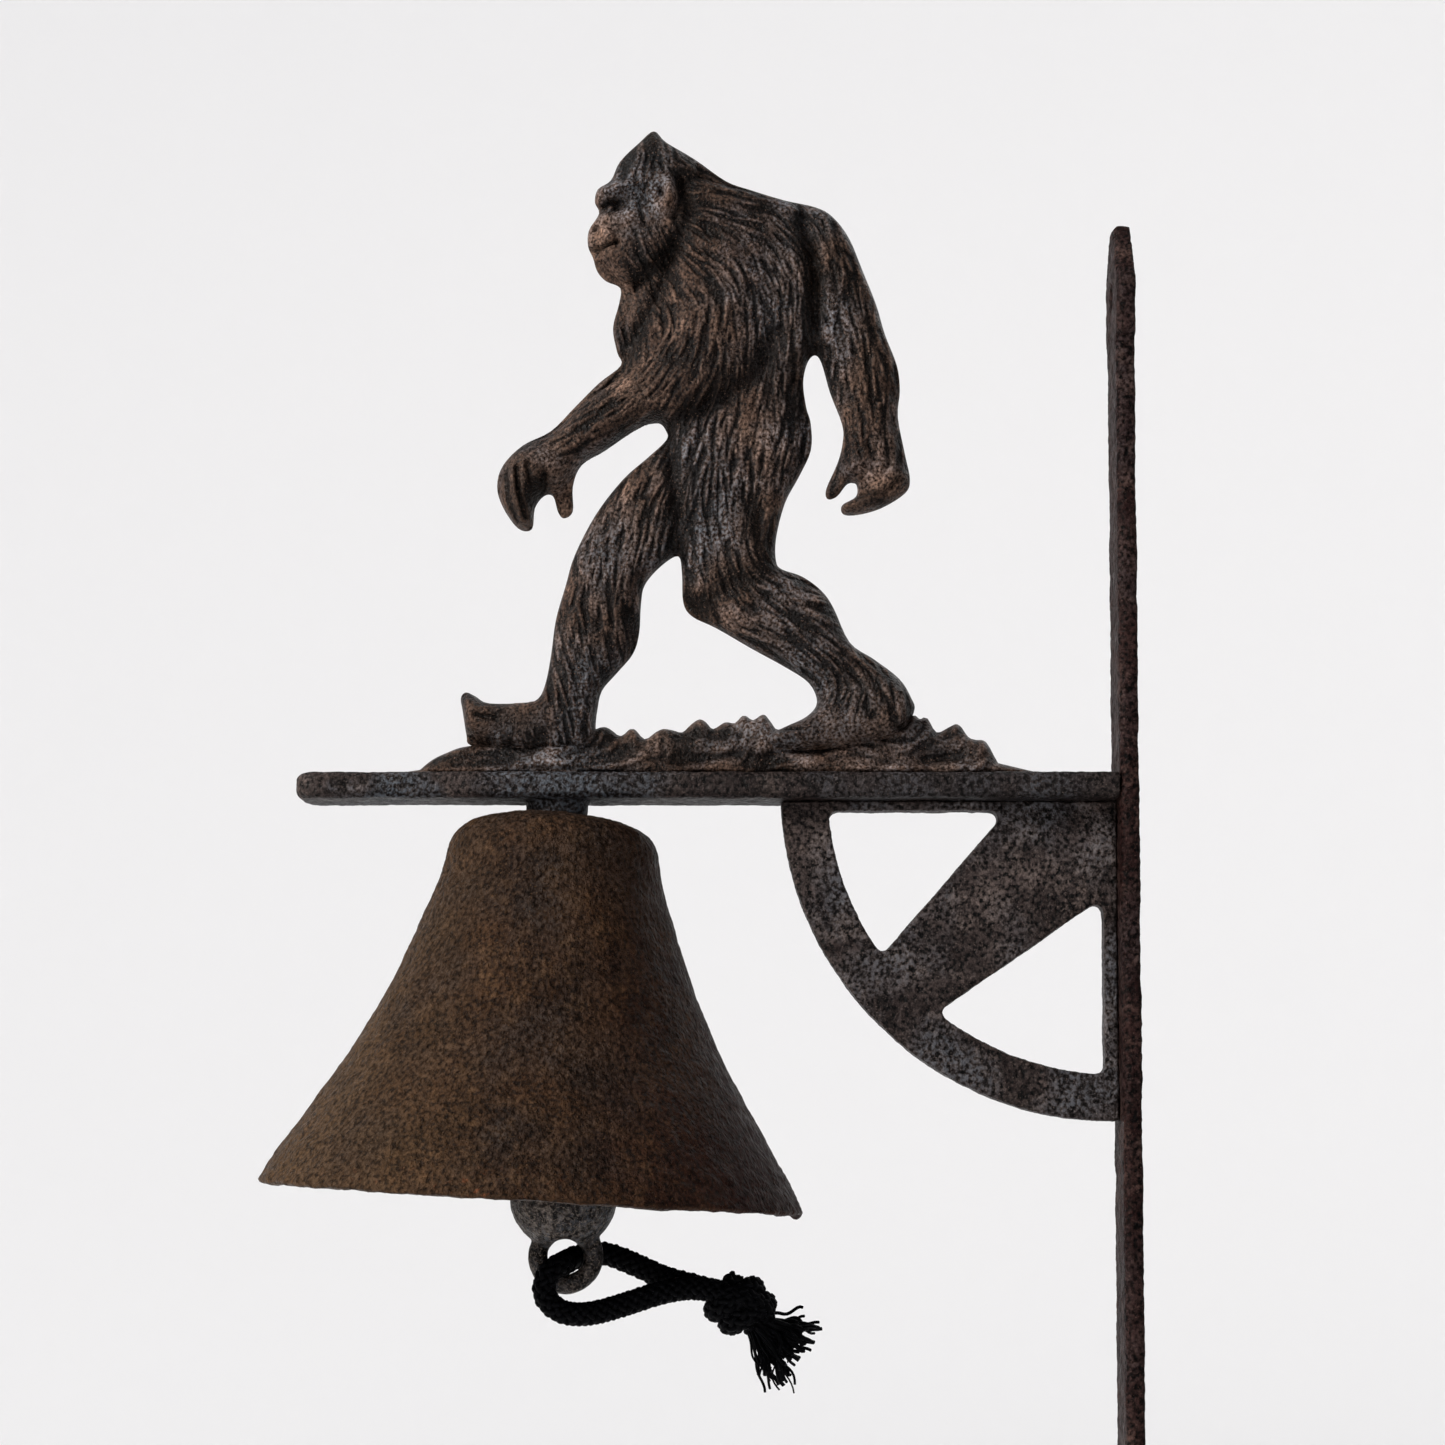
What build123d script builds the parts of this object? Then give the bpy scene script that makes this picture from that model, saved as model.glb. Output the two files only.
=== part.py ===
from build123d import *
from math import cos, pi, radians, sin, tan
import os

# Yard dinner bell on a cast-iron wall bracket, with a walking figure on its arm.
# Millimetres. +Z is up, the wall is the plane X = 0, and the arm reaches out along -X.
# The origin is halfway between the two screw holes, on the back face of the wall bar.

# ---------------------------------------------------------------- driving dimensions
# Wall bar
SCREW_SPACING = 303.0
SCREW_HOLE_R = 3.0
BAR_WIDTH = 20.0
BAR_THICK = 4.4
BAR_BEVEL = 1.2
TAB_WIDTH = 27.0
TAB_TIP_WIDTH = 7.0
TAB_ABOVE_HOLE = 16.5
TAB_BELOW_HOLE = 11.0
TAB_SHOULDER = 1.5
TAB_CORNER_CUT = 1.2
LEDGE_SLOPE = 1.0

# Arm and the boss that the bell hangs from
ARM_END_X = -196.8
ARM_Z = 33.5
ARM_WIDTH = 20.0
ARM_THICK = 6.2
ARM_BEVEL = 1.3
ARM_CORNER_R = 5.0
BOSS_R = 7.35
BOSS_LENGTH = 5.0

# Quarter-ring brace with one spoke
RING_X = -5.4
RING_Z = 33.2
RING_OUTER_R = 78.0
RING_INNER_R = 67.0
BRACE_THICK = 6.0
WINDOW_CORNER_R = 1.8

# Grass mound and figure
BASE_THICK = 14.0
TORSO_THICK = 14.0
LIMB_THICK = 11.0

# Bell: it sits a few degrees off plumb on its boss
BELL_X = -136.1
CROWN_Z = 27.1
BELL_TILT = 3.5
BELL_HEIGHT = 89.8
RIM_R = 63.2
WALL = 4.0
CROWN_WALL = 5.0
CROWN_HOLE_R = 3.3

# Eye screw, its washer and its lock nut
SHANK_R = 3.0
THREAD_CLEARANCE = 0.05
SHANK_IN_BOSS = 8.0
TAPPED_HOLE_SPARE = 0.3
WASHER_R = 7.5
WASHER_THICK = 1.2
NUT_ACROSS_FLATS = 10.0
NUT_THICK = 4.6
NUT_CHAMFER = 0.5
EYE_DEPTH = 21.0
EYE_HOLE_R = 3.4
EYE_WIRE_R = 1.6

# Hanger link, an oval ring of wire
LINK_WIRE_R = 1.2
LINK_BEND_R = 4.0
LINK_PITCH = 14.0
LINK_PLAY = 0.3

# Clapper: upper eye, stem, ball and lower eye in one casting
BALL_X = -134.2
BALL_Z = -62.2
BALL_R = 12.5
CLAPPER_EYE_HOLE_R = 3.2
CLAPPER_EYE_WIRE_R = 1.8
STEM_TOP_R = 2.8
STEM_LOW_R = 4.2
STEM_IN_BALL = 2.0
LOWER_EYE_DROP = 13.9
LOWER_EYE_HOLE_R = 4.2
LOWER_EYE_WIRE_R = 2.3

# Pull rope
ROPE_R = 2.5
FRAY_SPREAD = 1.8

# ---------------------------------------------------------------- working places
tilt = radians(BELL_TILT)
bell_out = (cos(tilt), 0, -sin(tilt))
bell_up = (sin(tilt), 0, cos(tilt))
crown_centre = (BELL_X, 0, CROWN_Z)
crown_plane = Plane(origin=crown_centre, x_dir=bell_out, z_dir=bell_up)
bell_section = Plane(origin=crown_centre, x_dir=bell_out, z_dir=(0, -1, 0))
bell_axis = Axis(crown_centre, bell_up)

screw_eye = crown_plane.from_local_coords(Vector(0, 0, -EYE_DEPTH))
link_hinge = screw_eye - Vector(0, 0, EYE_HOLE_R - LINK_WIRE_R - LINK_PLAY)
ball_centre = Vector(BALL_X, 0, BALL_Z)
hang_down = (ball_centre - link_hinge).normalized()
hang_length = (ball_centre - link_hinge).length
clapper_hinge = link_hinge + hang_down * LINK_PITCH
upper_eye = clapper_hinge + hang_down * (CLAPPER_EYE_HOLE_R - LINK_WIRE_R - LINK_PLAY)
lower_eye = ball_centre + hang_down * LOWER_EYE_DROP
# Section of what hangs: local x to the right, local y up along the clapper, seen from the front.
hang_section = Plane(origin=link_hinge, x_dir=(-hang_down.Z, 0, hang_down.X), z_dir=(0, -1, 0))
# The link lies across that section: local x along +Y, local y up along the clapper.
link_section = Plane(origin=link_hinge, x_dir=(0, 1, 0), z_dir=(-hang_down.Z, 0, hang_down.X))

print("link hinge", tuple(round(v, 3) for v in link_hinge))
print("clapper hinge", tuple(round(v, 3) for v in clapper_hinge))
print("rope hinge", tuple(round(v, 3) for v in lower_eye))


# ---------------------------------------------------------------- wall bar
half_spacing = SCREW_SPACING / 2
ledge_z = half_spacing - TAB_BELOW_HOLE

with BuildPart() as wall_bar:
    with BuildSketch(Plane.YZ):
        Rectangle(BAR_WIDTH, 2 * ledge_z)
        for end in (1, -1):
            with BuildLine():
                Polyline(
                    (-BAR_WIDTH / 2, end * (ledge_z - LEDGE_SLOPE)),
                    (-TAB_WIDTH / 2 + TAB_CORNER_CUT, end * ledge_z),
                    (-TAB_WIDTH / 2, end * (half_spacing + TAB_SHOULDER)),
                    (-TAB_TIP_WIDTH / 2, end * (half_spacing + TAB_ABOVE_HOLE)),
                    (TAB_TIP_WIDTH / 2, end * (half_spacing + TAB_ABOVE_HOLE)),
                    (TAB_WIDTH / 2, end * (half_spacing + TAB_SHOULDER)),
                    (TAB_WIDTH / 2 - TAB_CORNER_CUT, end * ledge_z),
                    (BAR_WIDTH / 2, end * (ledge_z - LEDGE_SLOPE)),
                    close=True,
                )
            make_face()
    extrude(amount=-BAR_THICK)
    front_face = wall_bar.faces().sort_by(Axis.X)[0]
    chamfer(front_face.edges(), length=BAR_BEVEL)
    with Locations((0, 0, half_spacing), (0, 0, -half_spacing)):
        Cylinder(SCREW_HOLE_R, 4 * BAR_THICK, rotation=(0, 90, 0), mode=Mode.SUBTRACT)
wall_bar.part.label = "wall_bar"


# ---------------------------------------------------------------- arm with its boss
arm_length = -BAR_THICK - ARM_END_X
arm_mid_x = ARM_END_X + arm_length / 2

with BuildPart() as arm:
    with BuildSketch(Plane.XY.offset(ARM_Z - ARM_THICK / 2)):
        with Locations((arm_mid_x, 0)):
            bar_plan = Rectangle(arm_length, ARM_WIDTH)
        fillet(bar_plan.vertices().group_by(Axis.X)[0], ARM_CORNER_R)
    extrude(amount=ARM_THICK)
    long_edges = arm.edges().filter_by(Plane.XY) - arm.edges().group_by(Axis.X)[-1]
    chamfer(long_edges, length=ARM_BEVEL)
    # The boss and its tapped hole lean with the bell.
    with BuildSketch(crown_plane):
        Circle(BOSS_R)
    extrude(amount=BOSS_LENGTH)
    with BuildSketch(crown_plane):
        Circle(SHANK_R + THREAD_CLEARANCE)
    extrude(amount=SHANK_IN_BOSS + TAPPED_HOLE_SPARE, mode=Mode.SUBTRACT)
arm.part.label = "arm"


# ---------------------------------------------------------------- brace
arm_under_z = ARM_Z - ARM_THICK / 2
UPPER_WINDOW = [(-90.0, 28.0), (-30.3, 28.0), (-70.2, -18.3)]
LOWER_WINDOW = [(-7.8, 7.5), (-60.0, -28.4), (-40.0, -60.0), (-7.8, -50.0)]

with BuildPart() as brace:
    with BuildSketch(Plane.XZ.offset(-BRACE_THICK / 2)):
        with Locations((RING_X, RING_Z)):
            Circle(RING_OUTER_R)
        # Keep the quarter below the arm and outside the bar.
        with Locations((-BAR_THICK, arm_under_z)):
            Rectangle(
                2 * RING_OUTER_R, 2 * RING_OUTER_R, align=(Align.MAX, Align.MAX), mode=Mode.INTERSECT
            )
        with BuildSketch(mode=Mode.SUBTRACT):
            with Locations((RING_X, RING_Z)):
                Circle(RING_INNER_R)
            with BuildSketch(mode=Mode.INTERSECT):
                for window in (UPPER_WINDOW, LOWER_WINDOW):
                    with BuildLine():
                        Polyline(*window, close=True)
                    make_face()
    extrude(amount=BRACE_THICK)
    through_edges = brace.edges().filter_by(Axis.Y)
    window_corners = [
        edge for edge in through_edges
        if (edge.center() - Vector(RING_X, 0, RING_Z)).length < RING_INNER_R + 1
        and edge.center().Z < arm_under_z - 1
        and edge.center().X < -BAR_THICK - 1
    ]
    fillet(window_corners, WINDOW_CORNER_R)
brace.part.label = "brace"


# ---------------------------------------------------------------- grass mound
arm_top_z = ARM_Z + ARM_THICK / 2
MOUND = [
    (-171.0, arm_top_z), (-166.0, 40.5), (-157.0, 45.8), (-130.0, 47.0), (-119.0, 49.0),
    (-110.0, 46.6), (-98.0, 51.5), (-88.0, 51.2), (-78.0, 50.6), (-62.0, 49.6), (-53.0, 51.2),
    (-45.0, 46.4), (-36.0, 43.4), (-29.7, arm_top_z),
]

with BuildPart() as ground_base:
    with BuildSketch(Plane.XZ.offset(-BASE_THICK / 2)):
        with BuildLine():
            Polyline(*MOUND, close=True)
        make_face()
    extrude(amount=BASE_THICK)
ground_base.part.label = "ground_base"


# ---------------------------------------------------------------- walking figure
# Each chain lists round stations of a limb: x, z and radius. Neighbouring stations are
# joined by the tapered slot that wraps both circles.
TORSO = [(-92.7, 156.8, 15.4), (-105.5, 143.2, 16.8), (-99.7, 124.5, 20.4), (-98.0, 110.0, 19.6)]
HEAD = [(-113.4, 185.9, 6.0), (-114.2, 177.5, 10.5), (-115.8, 170.1, 12.0), (-119.4, 161.2, 8.0)]
NECK = [(-112.0, 170.0, 12.0), (-96.0, 158.5, 15.0)]
REAR_ARM = [(-77.9, 157.7, 11.6), (-70.0, 143.2, 9.8), (-65.3, 128.0, 8.4), (-63.9, 117.5, 6.8),
            (-61.1, 106.2, 6.3), (-65.3, 100.4, 2.6)]
FRONT_ARM = [(-101.3, 151.4, 10.8), (-109.7, 130.3, 9.2), (-124.3, 120.3, 7.0), (-135.5, 112.3, 5.1),
             (-143.0, 107.6, 5.9), (-146.2, 99.2, 3.6)]
FRONT_LEG = [(-105.5, 105.8, 16.8), (-114.9, 94.1, 14.0), (-123.8, 82.8, 10.3), (-127.1, 73.0, 10.1),
             (-130.1, 61.8, 8.7), (-133.1, 54.3, 6.6), (-148.8, 50.8, 4.0), (-155.6, 51.8, 3.2)]
REAR_LEG = [(-92.7, 101.1, 14.5), (-94.3, 84.7, 13.3), (-90.5, 76.3, 10.6), (-77.0, 67.8, 9.8),
            (-70.5, 60.0, 9.4), (-64.5, 54.0, 7.6), (-78.5, 50.4, 3.0)]


def slots(chain):
    """Sketch the tapered slots that join a chain's circles."""
    for (x1, z1, r1), (x2, z2, r2) in zip(chain, chain[1:]):
        with BuildSketch() as link:
            with Locations((x1, z1)):
                Circle(r1)
            with Locations((x2, z2)):
                Circle(r2)
            make_hull()
        add(link.sketch)


with BuildPart() as walking_figure:
    for chains, thick in (((TORSO, HEAD, NECK), TORSO_THICK),
                          ((REAR_ARM, FRONT_ARM, FRONT_LEG, REAR_LEG), LIMB_THICK)):
        for chain in chains:
            with BuildSketch(Plane.XZ.offset(-thick / 2)):
                slots(chain)
            extrude(amount=thick)
    add(ground_base.part, mode=Mode.SUBTRACT)
walking_figure.part.label = "walking_figure"


# ---------------------------------------------------------------- bell
with BuildPart() as bell:
    with BuildSketch(bell_section):
        with BuildLine():
            crown_top = Line((0, 0), (9.5, 0))
            outside = Spline(
                crown_top @ 1, (16.0, -1.2), (22.4, -4.2), (24.9, -10.5), (28.4, -22.4), (35.7, -41.1),
                (45.3, -59.8), (57.4, -78.6), (RIM_R, -BELL_HEIGHT + 1.0),
                tangents=((1, 0), (0.35, -1)),
            )
            Line(outside @ 1, (RIM_R - WALL, -BELL_HEIGHT))
            inside = Spline(
                (RIM_R - WALL, -BELL_HEIGHT), (53.2, -79.8), (41.2, -60.6), (31.7, -42.0), (24.6, -24.0),
                (21.2, -12.0), (18.4, -7.6), (12.5, -5.4), (9.0, -CROWN_WALL),
                tangents=((-0.35, 1), (-1, 0)),
            )
            crown_under = Line(inside @ 1, (0, -CROWN_WALL))
            Line(crown_under @ 1, (0, 0))
        make_face()
    revolve(axis=bell_axis)
    with BuildSketch(crown_plane):
        Circle(CROWN_HOLE_R)
    extrude(amount=-2 * CROWN_WALL, mode=Mode.SUBTRACT)
bell.part.label = "bell"


# ---------------------------------------------------------------- eye screw, washer, lock nut
with BuildPart() as lock_washer:
    with BuildSketch(crown_plane.offset(-CROWN_WALL)):
        Circle(WASHER_R)
        Circle(CROWN_HOLE_R, mode=Mode.SUBTRACT)
    extrude(amount=-WASHER_THICK)
lock_washer.part.label = "lock_washer"

nut_top = CROWN_WALL + WASHER_THICK
with BuildPart() as lock_nut:
    with BuildSketch(crown_plane.offset(-nut_top)):
        RegularPolygon(NUT_ACROSS_FLATS / 2, 6, major_radius=False)
        Circle(SHANK_R + THREAD_CLEARANCE, mode=Mode.SUBTRACT)
    extrude(amount=-NUT_THICK)
    nut_rims = lock_nut.edges().filter_by(lambda edge: abs((edge % 0).dot(crown_plane.z_dir)) < 0.1)
    chamfer(nut_rims.filter_by(GeomType.LINE), length=NUT_CHAMFER)
lock_nut.part.label = "lock_nut"

eye_ring_r = EYE_HOLE_R + EYE_WIRE_R
wire_plane = Plane(origin=screw_eye + Vector(eye_ring_r, 0, 0), x_dir=(1, 0, 0), z_dir=(0, 0, 1))
with BuildPart() as eye_screw:
    with BuildSketch(crown_plane.offset(-EYE_DEPTH + eye_ring_r)):
        Circle(SHANK_R)
    extrude(amount=EYE_DEPTH - eye_ring_r + SHANK_IN_BOSS)
    with BuildSketch(wire_plane):
        Circle(EYE_WIRE_R)
    revolve(axis=Axis(screw_eye, (0, 1, 0)))
eye_screw.part.label = "eye_screw"


# ---------------------------------------------------------------- hanger link
with BuildPart() as hanger_link:
    with BuildLine(link_section) as link_path:
        left = Line((-LINK_BEND_R, -LINK_BEND_R), (-LINK_BEND_R, -LINK_PITCH + LINK_BEND_R))
        under = ThreePointArc(left @ 1, (0, -LINK_PITCH), (LINK_BEND_R, -LINK_PITCH + LINK_BEND_R))
        right = Line(under @ 1, (LINK_BEND_R, -LINK_BEND_R))
        ThreePointArc(right @ 1, (0, 0), (-LINK_BEND_R, -LINK_BEND_R))
    with BuildSketch(Plane(origin=link_path.line @ 0, z_dir=link_path.line % 0)):
        Circle(LINK_WIRE_R)
    sweep(transition=Transition.ROUND)
hanger_link.part.label = "hanger_link"


# ---------------------------------------------------------------- clapper
stem_top_y = -(upper_eye - link_hinge).length - CLAPPER_EYE_HOLE_R - CLAPPER_EYE_WIRE_R
stem_low_y = -hang_length + BALL_R - STEM_IN_BALL
CLAPPER_EYES = [
    (upper_eye, CLAPPER_EYE_HOLE_R, CLAPPER_EYE_WIRE_R),
    (lower_eye, LOWER_EYE_HOLE_R, LOWER_EYE_WIRE_R),
]
with BuildPart() as clapper:
    for centre, hole_r, wire_r in CLAPPER_EYES:
        with BuildSketch(Plane.XY.offset(centre.Z)):
            with Locations((centre.X + hole_r + wire_r, 0)):
                Circle(wire_r)
        revolve(axis=Axis(centre, (0, 1, 0)))
    with BuildSketch(hang_section):
        with BuildLine():
            Polyline(
                (0, stem_top_y), (STEM_TOP_R, stem_top_y),
                (STEM_LOW_R, stem_low_y), (0, stem_low_y),
                close=True,
            )
        make_face()
    revolve(axis=Axis(link_hinge, -hang_down))
    with Locations(ball_centre):
        Sphere(BALL_R)
    # The rope hole goes right through the bottom of the ball too.
    with BuildSketch(Plane.XZ.offset(-BALL_R)):
        with Locations((lower_eye.X, lower_eye.Z)):
            Circle(LOWER_EYE_HOLE_R)
    extrude(amount=2 * BALL_R, mode=Mode.SUBTRACT)
clapper.part.label = "clapper"


# ---------------------------------------------------------------- pull rope
# The rope is threaded through the lower eye: its two halves leave it to the front and to the
# back, turn to the right and meet in an overhand knot, below which both ends are frayed.
ROPE_FRONT = [
    (-133.6, 0.0, -77.5), (-133.6, -5.4, -77.5), (-137.2, -8.8, -79.2), (-138.6, -8.9, -84.6),
    (-134.6, -8.2, -88.9), (-128.0, -7.0, -89.4), (-120.0, -5.6, -87.2), (-111.2, -4.2, -84.2),
    (-102.8, -3.2, -82.9), (-96.6, -2.8, -84.4),
]
ROPE_BACK = [
    (-133.6, 0.0, -77.5), (-133.6, 5.4, -77.5), (-130.0, 8.8, -75.6), (-124.4, 8.6, -75.4),
    (-117.8, 7.0, -78.0), (-110.4, 5.0, -81.4), (-103.0, 3.4, -83.0), (-96.8, 2.8, -85.0),
]


def corner_radii(points):
    """Give each corner an arc that uses 0.45 of its shorter run."""
    at = [Vector(*p) for p in points]
    radii = []
    for before, corner, after in zip(at, at[1:], at[2:]):
        run_in = corner - before
        run_out = after - corner
        turn = radians(run_in.get_angle(run_out))
        radii.append(0.45 * min(run_in.length, run_out.length) / tan(turn / 2))
    return radii


rope_halves = []
for name, points in (("rope_front", ROPE_FRONT), ("rope_back", ROPE_BACK)):
    radii = corner_radii(points)
    with BuildPart() as rope_half:
        with BuildLine() as route:
            FilletPolyline(*points, radius=radii)
        with BuildSketch(Plane(origin=route.line @ 0, z_dir=route.line % 0)):
            Circle(ROPE_R)
        sweep(path=route.line)
    rope_half.part.label = name
    rope_halves.append(rope_half)
    route_length = sum(edge.length for edge in route.edges())
    print(name, "radii", [round(r, 1) for r in radii], "length", round(route_length, 1))
    expected = route_length * pi * ROPE_R**2
    print(name, "volume", round(rope_half.part.volume, 1), "section x length", round(expected, 1))

KNOT_LUMPS = [(-94.4, 0.0, -84.8, 6.6), (-90.6, 0.0, -89.4, 6.2)]
with BuildPart() as rope_knot:
    for x, y, z, radius in KNOT_LUMPS:
        with Locations((x, y, z)):
            Sphere(radius)
rope_knot.part.label = "rope_knot"

# Frayed ends: start, direction and length of each flaring bundle.
FRAYED = [
    ((-87.0, -2.2, -93.0), (0.95, -0.05, -0.28), 16.0),
    ((-88.6, 2.2, -94.0), (0.30, 0.10, -0.95), 16.5),
]
with BuildPart() as frayed_ends:
    for start, way, length in FRAYED:
        tip = Vector(*start) + Vector(*way).normalized() * length
        with BuildSketch(Plane(origin=start, z_dir=way)):
            Circle(ROPE_R)
        with BuildSketch(Plane(origin=tip, z_dir=way)):
            Circle(FRAY_SPREAD * ROPE_R)
        loft()
frayed_ends.part.label = "frayed_ends"


# ---------------------------------------------------------------- files
pieces = [
    wall_bar, arm, brace, ground_base, walking_figure, bell, lock_washer, lock_nut, eye_screw,
    hanger_link, clapper, *rope_halves, rope_knot, frayed_ends,
]
os.makedirs("parts", exist_ok=True)
for piece in pieces:
    export_step(piece.part, f"parts/{piece.part.label}.step")
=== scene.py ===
# Looks for the wall-mounted dinner bell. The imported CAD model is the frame; every piece here
# rides on one of its bodies. Shapes are worked out in millimetres and built in metres.
from itertools import product
from math import cos, pi, radians, sin, tau

import bmesh
import bpy
import numpy as np
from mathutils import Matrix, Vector


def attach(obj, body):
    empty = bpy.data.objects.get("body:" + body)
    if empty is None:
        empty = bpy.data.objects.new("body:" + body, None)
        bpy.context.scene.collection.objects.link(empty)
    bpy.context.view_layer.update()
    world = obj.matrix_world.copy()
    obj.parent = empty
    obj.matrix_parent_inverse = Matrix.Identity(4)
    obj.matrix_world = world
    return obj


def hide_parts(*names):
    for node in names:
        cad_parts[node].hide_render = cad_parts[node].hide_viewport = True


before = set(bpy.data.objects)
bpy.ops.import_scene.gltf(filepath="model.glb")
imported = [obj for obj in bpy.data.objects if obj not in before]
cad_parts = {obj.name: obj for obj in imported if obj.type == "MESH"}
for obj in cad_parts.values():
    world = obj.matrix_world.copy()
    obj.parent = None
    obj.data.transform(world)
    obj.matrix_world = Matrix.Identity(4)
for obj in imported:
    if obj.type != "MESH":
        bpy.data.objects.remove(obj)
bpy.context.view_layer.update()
MM = 0.001


# ---------------- camera, lights, stage
CAMERA_PLACE = (-0.0970, -0.800, -0.0583)
CAMERA_PITCH = 4.75
LENS, SENSOR_WIDTH = 85.1, 36.0
SHIFT_UP = 0.12
LIGHT_AIM = (-0.10, 0, 0.03)
# Soft lights: name, place, size, power (W) and colour.
LIGHTS = [
    ("key", (-1.05, -0.55, 0.70), (0.42, 0.42), 40, (1.0, 0.96, 0.92)),
    ("fill", (0.9, -1.0, 0.1), (0.8, 0.8), 0.8, (0.92, 0.95, 1.0)),
    ("rim", (0.5, 0.9, 0.9), (0.5, 0.5), 3.5, (1.0, 1.0, 1.0)),
    ("low", (-0.5, -0.9, -0.22), (0.8, 0.2), 3.0, (1.0, 0.93, 0.86)),
]
STUDIO_COLOUR = (0.86, 0.86, 0.87, 1)
PAPER_COLOUR = (0.855, 0.855, 0.86, 1)
FLOOR_Z, ROOM_RADIUS, SWEEP_RADIUS, WALL_HEIGHT = -0.30, 3.2, 1.2, 2.6


def add_camera():
    """The photograph's view: just below the arm, level with the bell's mouth, a little up."""
    data = bpy.data.cameras.new("camera")
    data.sensor_width = SENSOR_WIDTH
    data.lens = LENS
    data.shift_y = SHIFT_UP
    camera = bpy.data.objects.new("camera", data)
    camera.location = CAMERA_PLACE
    camera.rotation_euler = (radians(90 + CAMERA_PITCH), 0, 0)
    bpy.context.collection.objects.link(camera)
    bpy.context.scene.camera = camera


def add_area_light(name, place, size, power, colour):
    data = bpy.data.lights.new(name, "AREA")
    data.shape = "RECTANGLE"
    data.size, data.size_y = size
    data.energy = power
    data.color = colour
    light = bpy.data.objects.new(name, data)
    light.location = place
    way = Vector(LIGHT_AIM) - Vector(place)
    light.rotation_euler = way.to_track_quat("-Z", "Y").to_euler()
    light.visible_camera = False
    bpy.context.collection.objects.link(light)


def add_lights():
    for light in LIGHTS:
        add_area_light(*light)
    world = bpy.data.worlds.new("studio")
    world.use_nodes = True
    background = world.node_tree.nodes["Background"]
    background.inputs["Color"].default_value = STUDIO_COLOUR
    background.inputs["Strength"].default_value = 1.0
    bpy.context.scene.world = world
    bpy.context.scene.view_settings.view_transform = "Standard"


def add_stage():
    """A pale floor that curves up into a round wall, with nothing to see at the join."""
    bends, slices = 12, 72
    inner = ROOM_RADIUS - SWEEP_RADIUS
    profile = [(0.0, FLOOR_Z), (inner, FLOOR_Z)]
    for step in range(1, bends + 1):
        turn = step / bends * pi / 2
        rise = SWEEP_RADIUS * (1 - cos(turn))
        profile.append((inner + SWEEP_RADIUS * sin(turn), FLOOR_Z + rise))
    profile.append((ROOM_RADIUS, FLOOR_Z + WALL_HEIGHT))
    mesh = bpy.data.meshes.new("floor")
    stage = bpy.data.objects.new("floor", mesh)
    bm = bmesh.new()
    verts = [bm.verts.new((r, 0, z)) for r, z in profile]
    edges = [bm.edges.new(pair) for pair in zip(verts, verts[1:])]
    bmesh.ops.spin(bm, geom=verts + edges, axis=(0, 0, 1), cent=(0, 0, 0), steps=slices, angle=tau,
                   use_merge=True)
    bmesh.ops.remove_doubles(bm, verts=bm.verts, dist=1e-5)
    bmesh.ops.recalc_face_normals(bm, faces=bm.faces)
    bm.to_mesh(mesh)
    bm.free()
    mesh.shade_smooth()
    material = bpy.data.materials.new("paper")
    material.use_nodes = True
    shader = material.node_tree.nodes["Principled BSDF"]
    shader.inputs["Base Color"].default_value = PAPER_COLOUR
    shader.inputs["Roughness"].default_value = 1.0
    shader.inputs["Specular IOR Level"].default_value = 0.0
    mesh.materials.append(material)
    bpy.context.collection.objects.link(stage)


# ---------------- noise
HASH_X, HASH_Y, HASH_Z, HASH_SEED, HASH_MIX = 73856093, 19349663, 83492791, 2654435, 1274126177


def value_noise(points, size, seed):
    """Smooth random values from -1 to 1 at points (n, 3), with lumps of about this size."""
    place = points / size + seed * 7.31
    cell = np.floor(place).astype(np.int64)
    part = place - cell
    part = part * part * (3 - 2 * part)
    total = np.zeros(len(points))
    for corner in product((0, 1), repeat=3):
        at = cell + corner
        mixed = (at[:, 0] * HASH_X) ^ (at[:, 1] * HASH_Y) ^ (at[:, 2] * HASH_Z) ^ (seed * HASH_SEED)
        mixed = (mixed ^ (mixed >> 13)) * HASH_MIX
        mixed = (mixed ^ (mixed >> 16)) & 0xFFFF
        weight = np.prod(np.where(corner, part, 1 - part), axis=1)
        total += weight * mixed / 0x8000
    return total - 1


def sand_cast(points, normals, rough=0.10, lumps=0.16, seed=1):
    """Move points (mm) along their normals by the lumps, grain and pits of a sand casting."""
    lift = lumps * value_noise(points, 6.0, seed) + rough * value_noise(points, 1.3, seed + 1)
    lift += 0.6 * rough * value_noise(points, 0.6, seed + 2)
    pits = value_noise(points, 2.2, seed + 3)
    lift -= 3.0 * rough * np.clip(pits - 0.62, 0, 1)
    return points + normals * lift[:, None]


# ---------------- materials
def new_node(tree, kind, **settings):
    node = tree.nodes.new("ShaderNode" + kind)
    for key, value in settings.items():
        if key in node.inputs:
            node.inputs[key].default_value = value
        else:
            setattr(node, key, value)
    return node


def noise(tree, where, scale, detail=3.0, roughness=0.6):
    node = new_node(tree, "TexNoise", Scale=scale, Detail=detail, Roughness=roughness)
    tree.links.new(where, node.inputs["Vector"])
    return node.outputs["Fac"]


def ramp(tree, value, *stops):
    """A colour ramp with stops (position, grey or colour)."""
    node = tree.nodes.new("ShaderNodeValToRGB")
    while len(node.color_ramp.elements) < len(stops):
        node.color_ramp.elements.new(1.0)
    for element, (position, colour) in zip(node.color_ramp.elements, stops):
        element.position = position
        element.color = (colour,) * 3 + (1,) if isinstance(colour, (int, float)) else (*colour, 1)
    tree.links.new(value, node.inputs["Fac"])
    return node.outputs["Color"]


COLOUR_A, COLOUR_B, COLOUR_RESULT = 6, 7, 2


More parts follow.
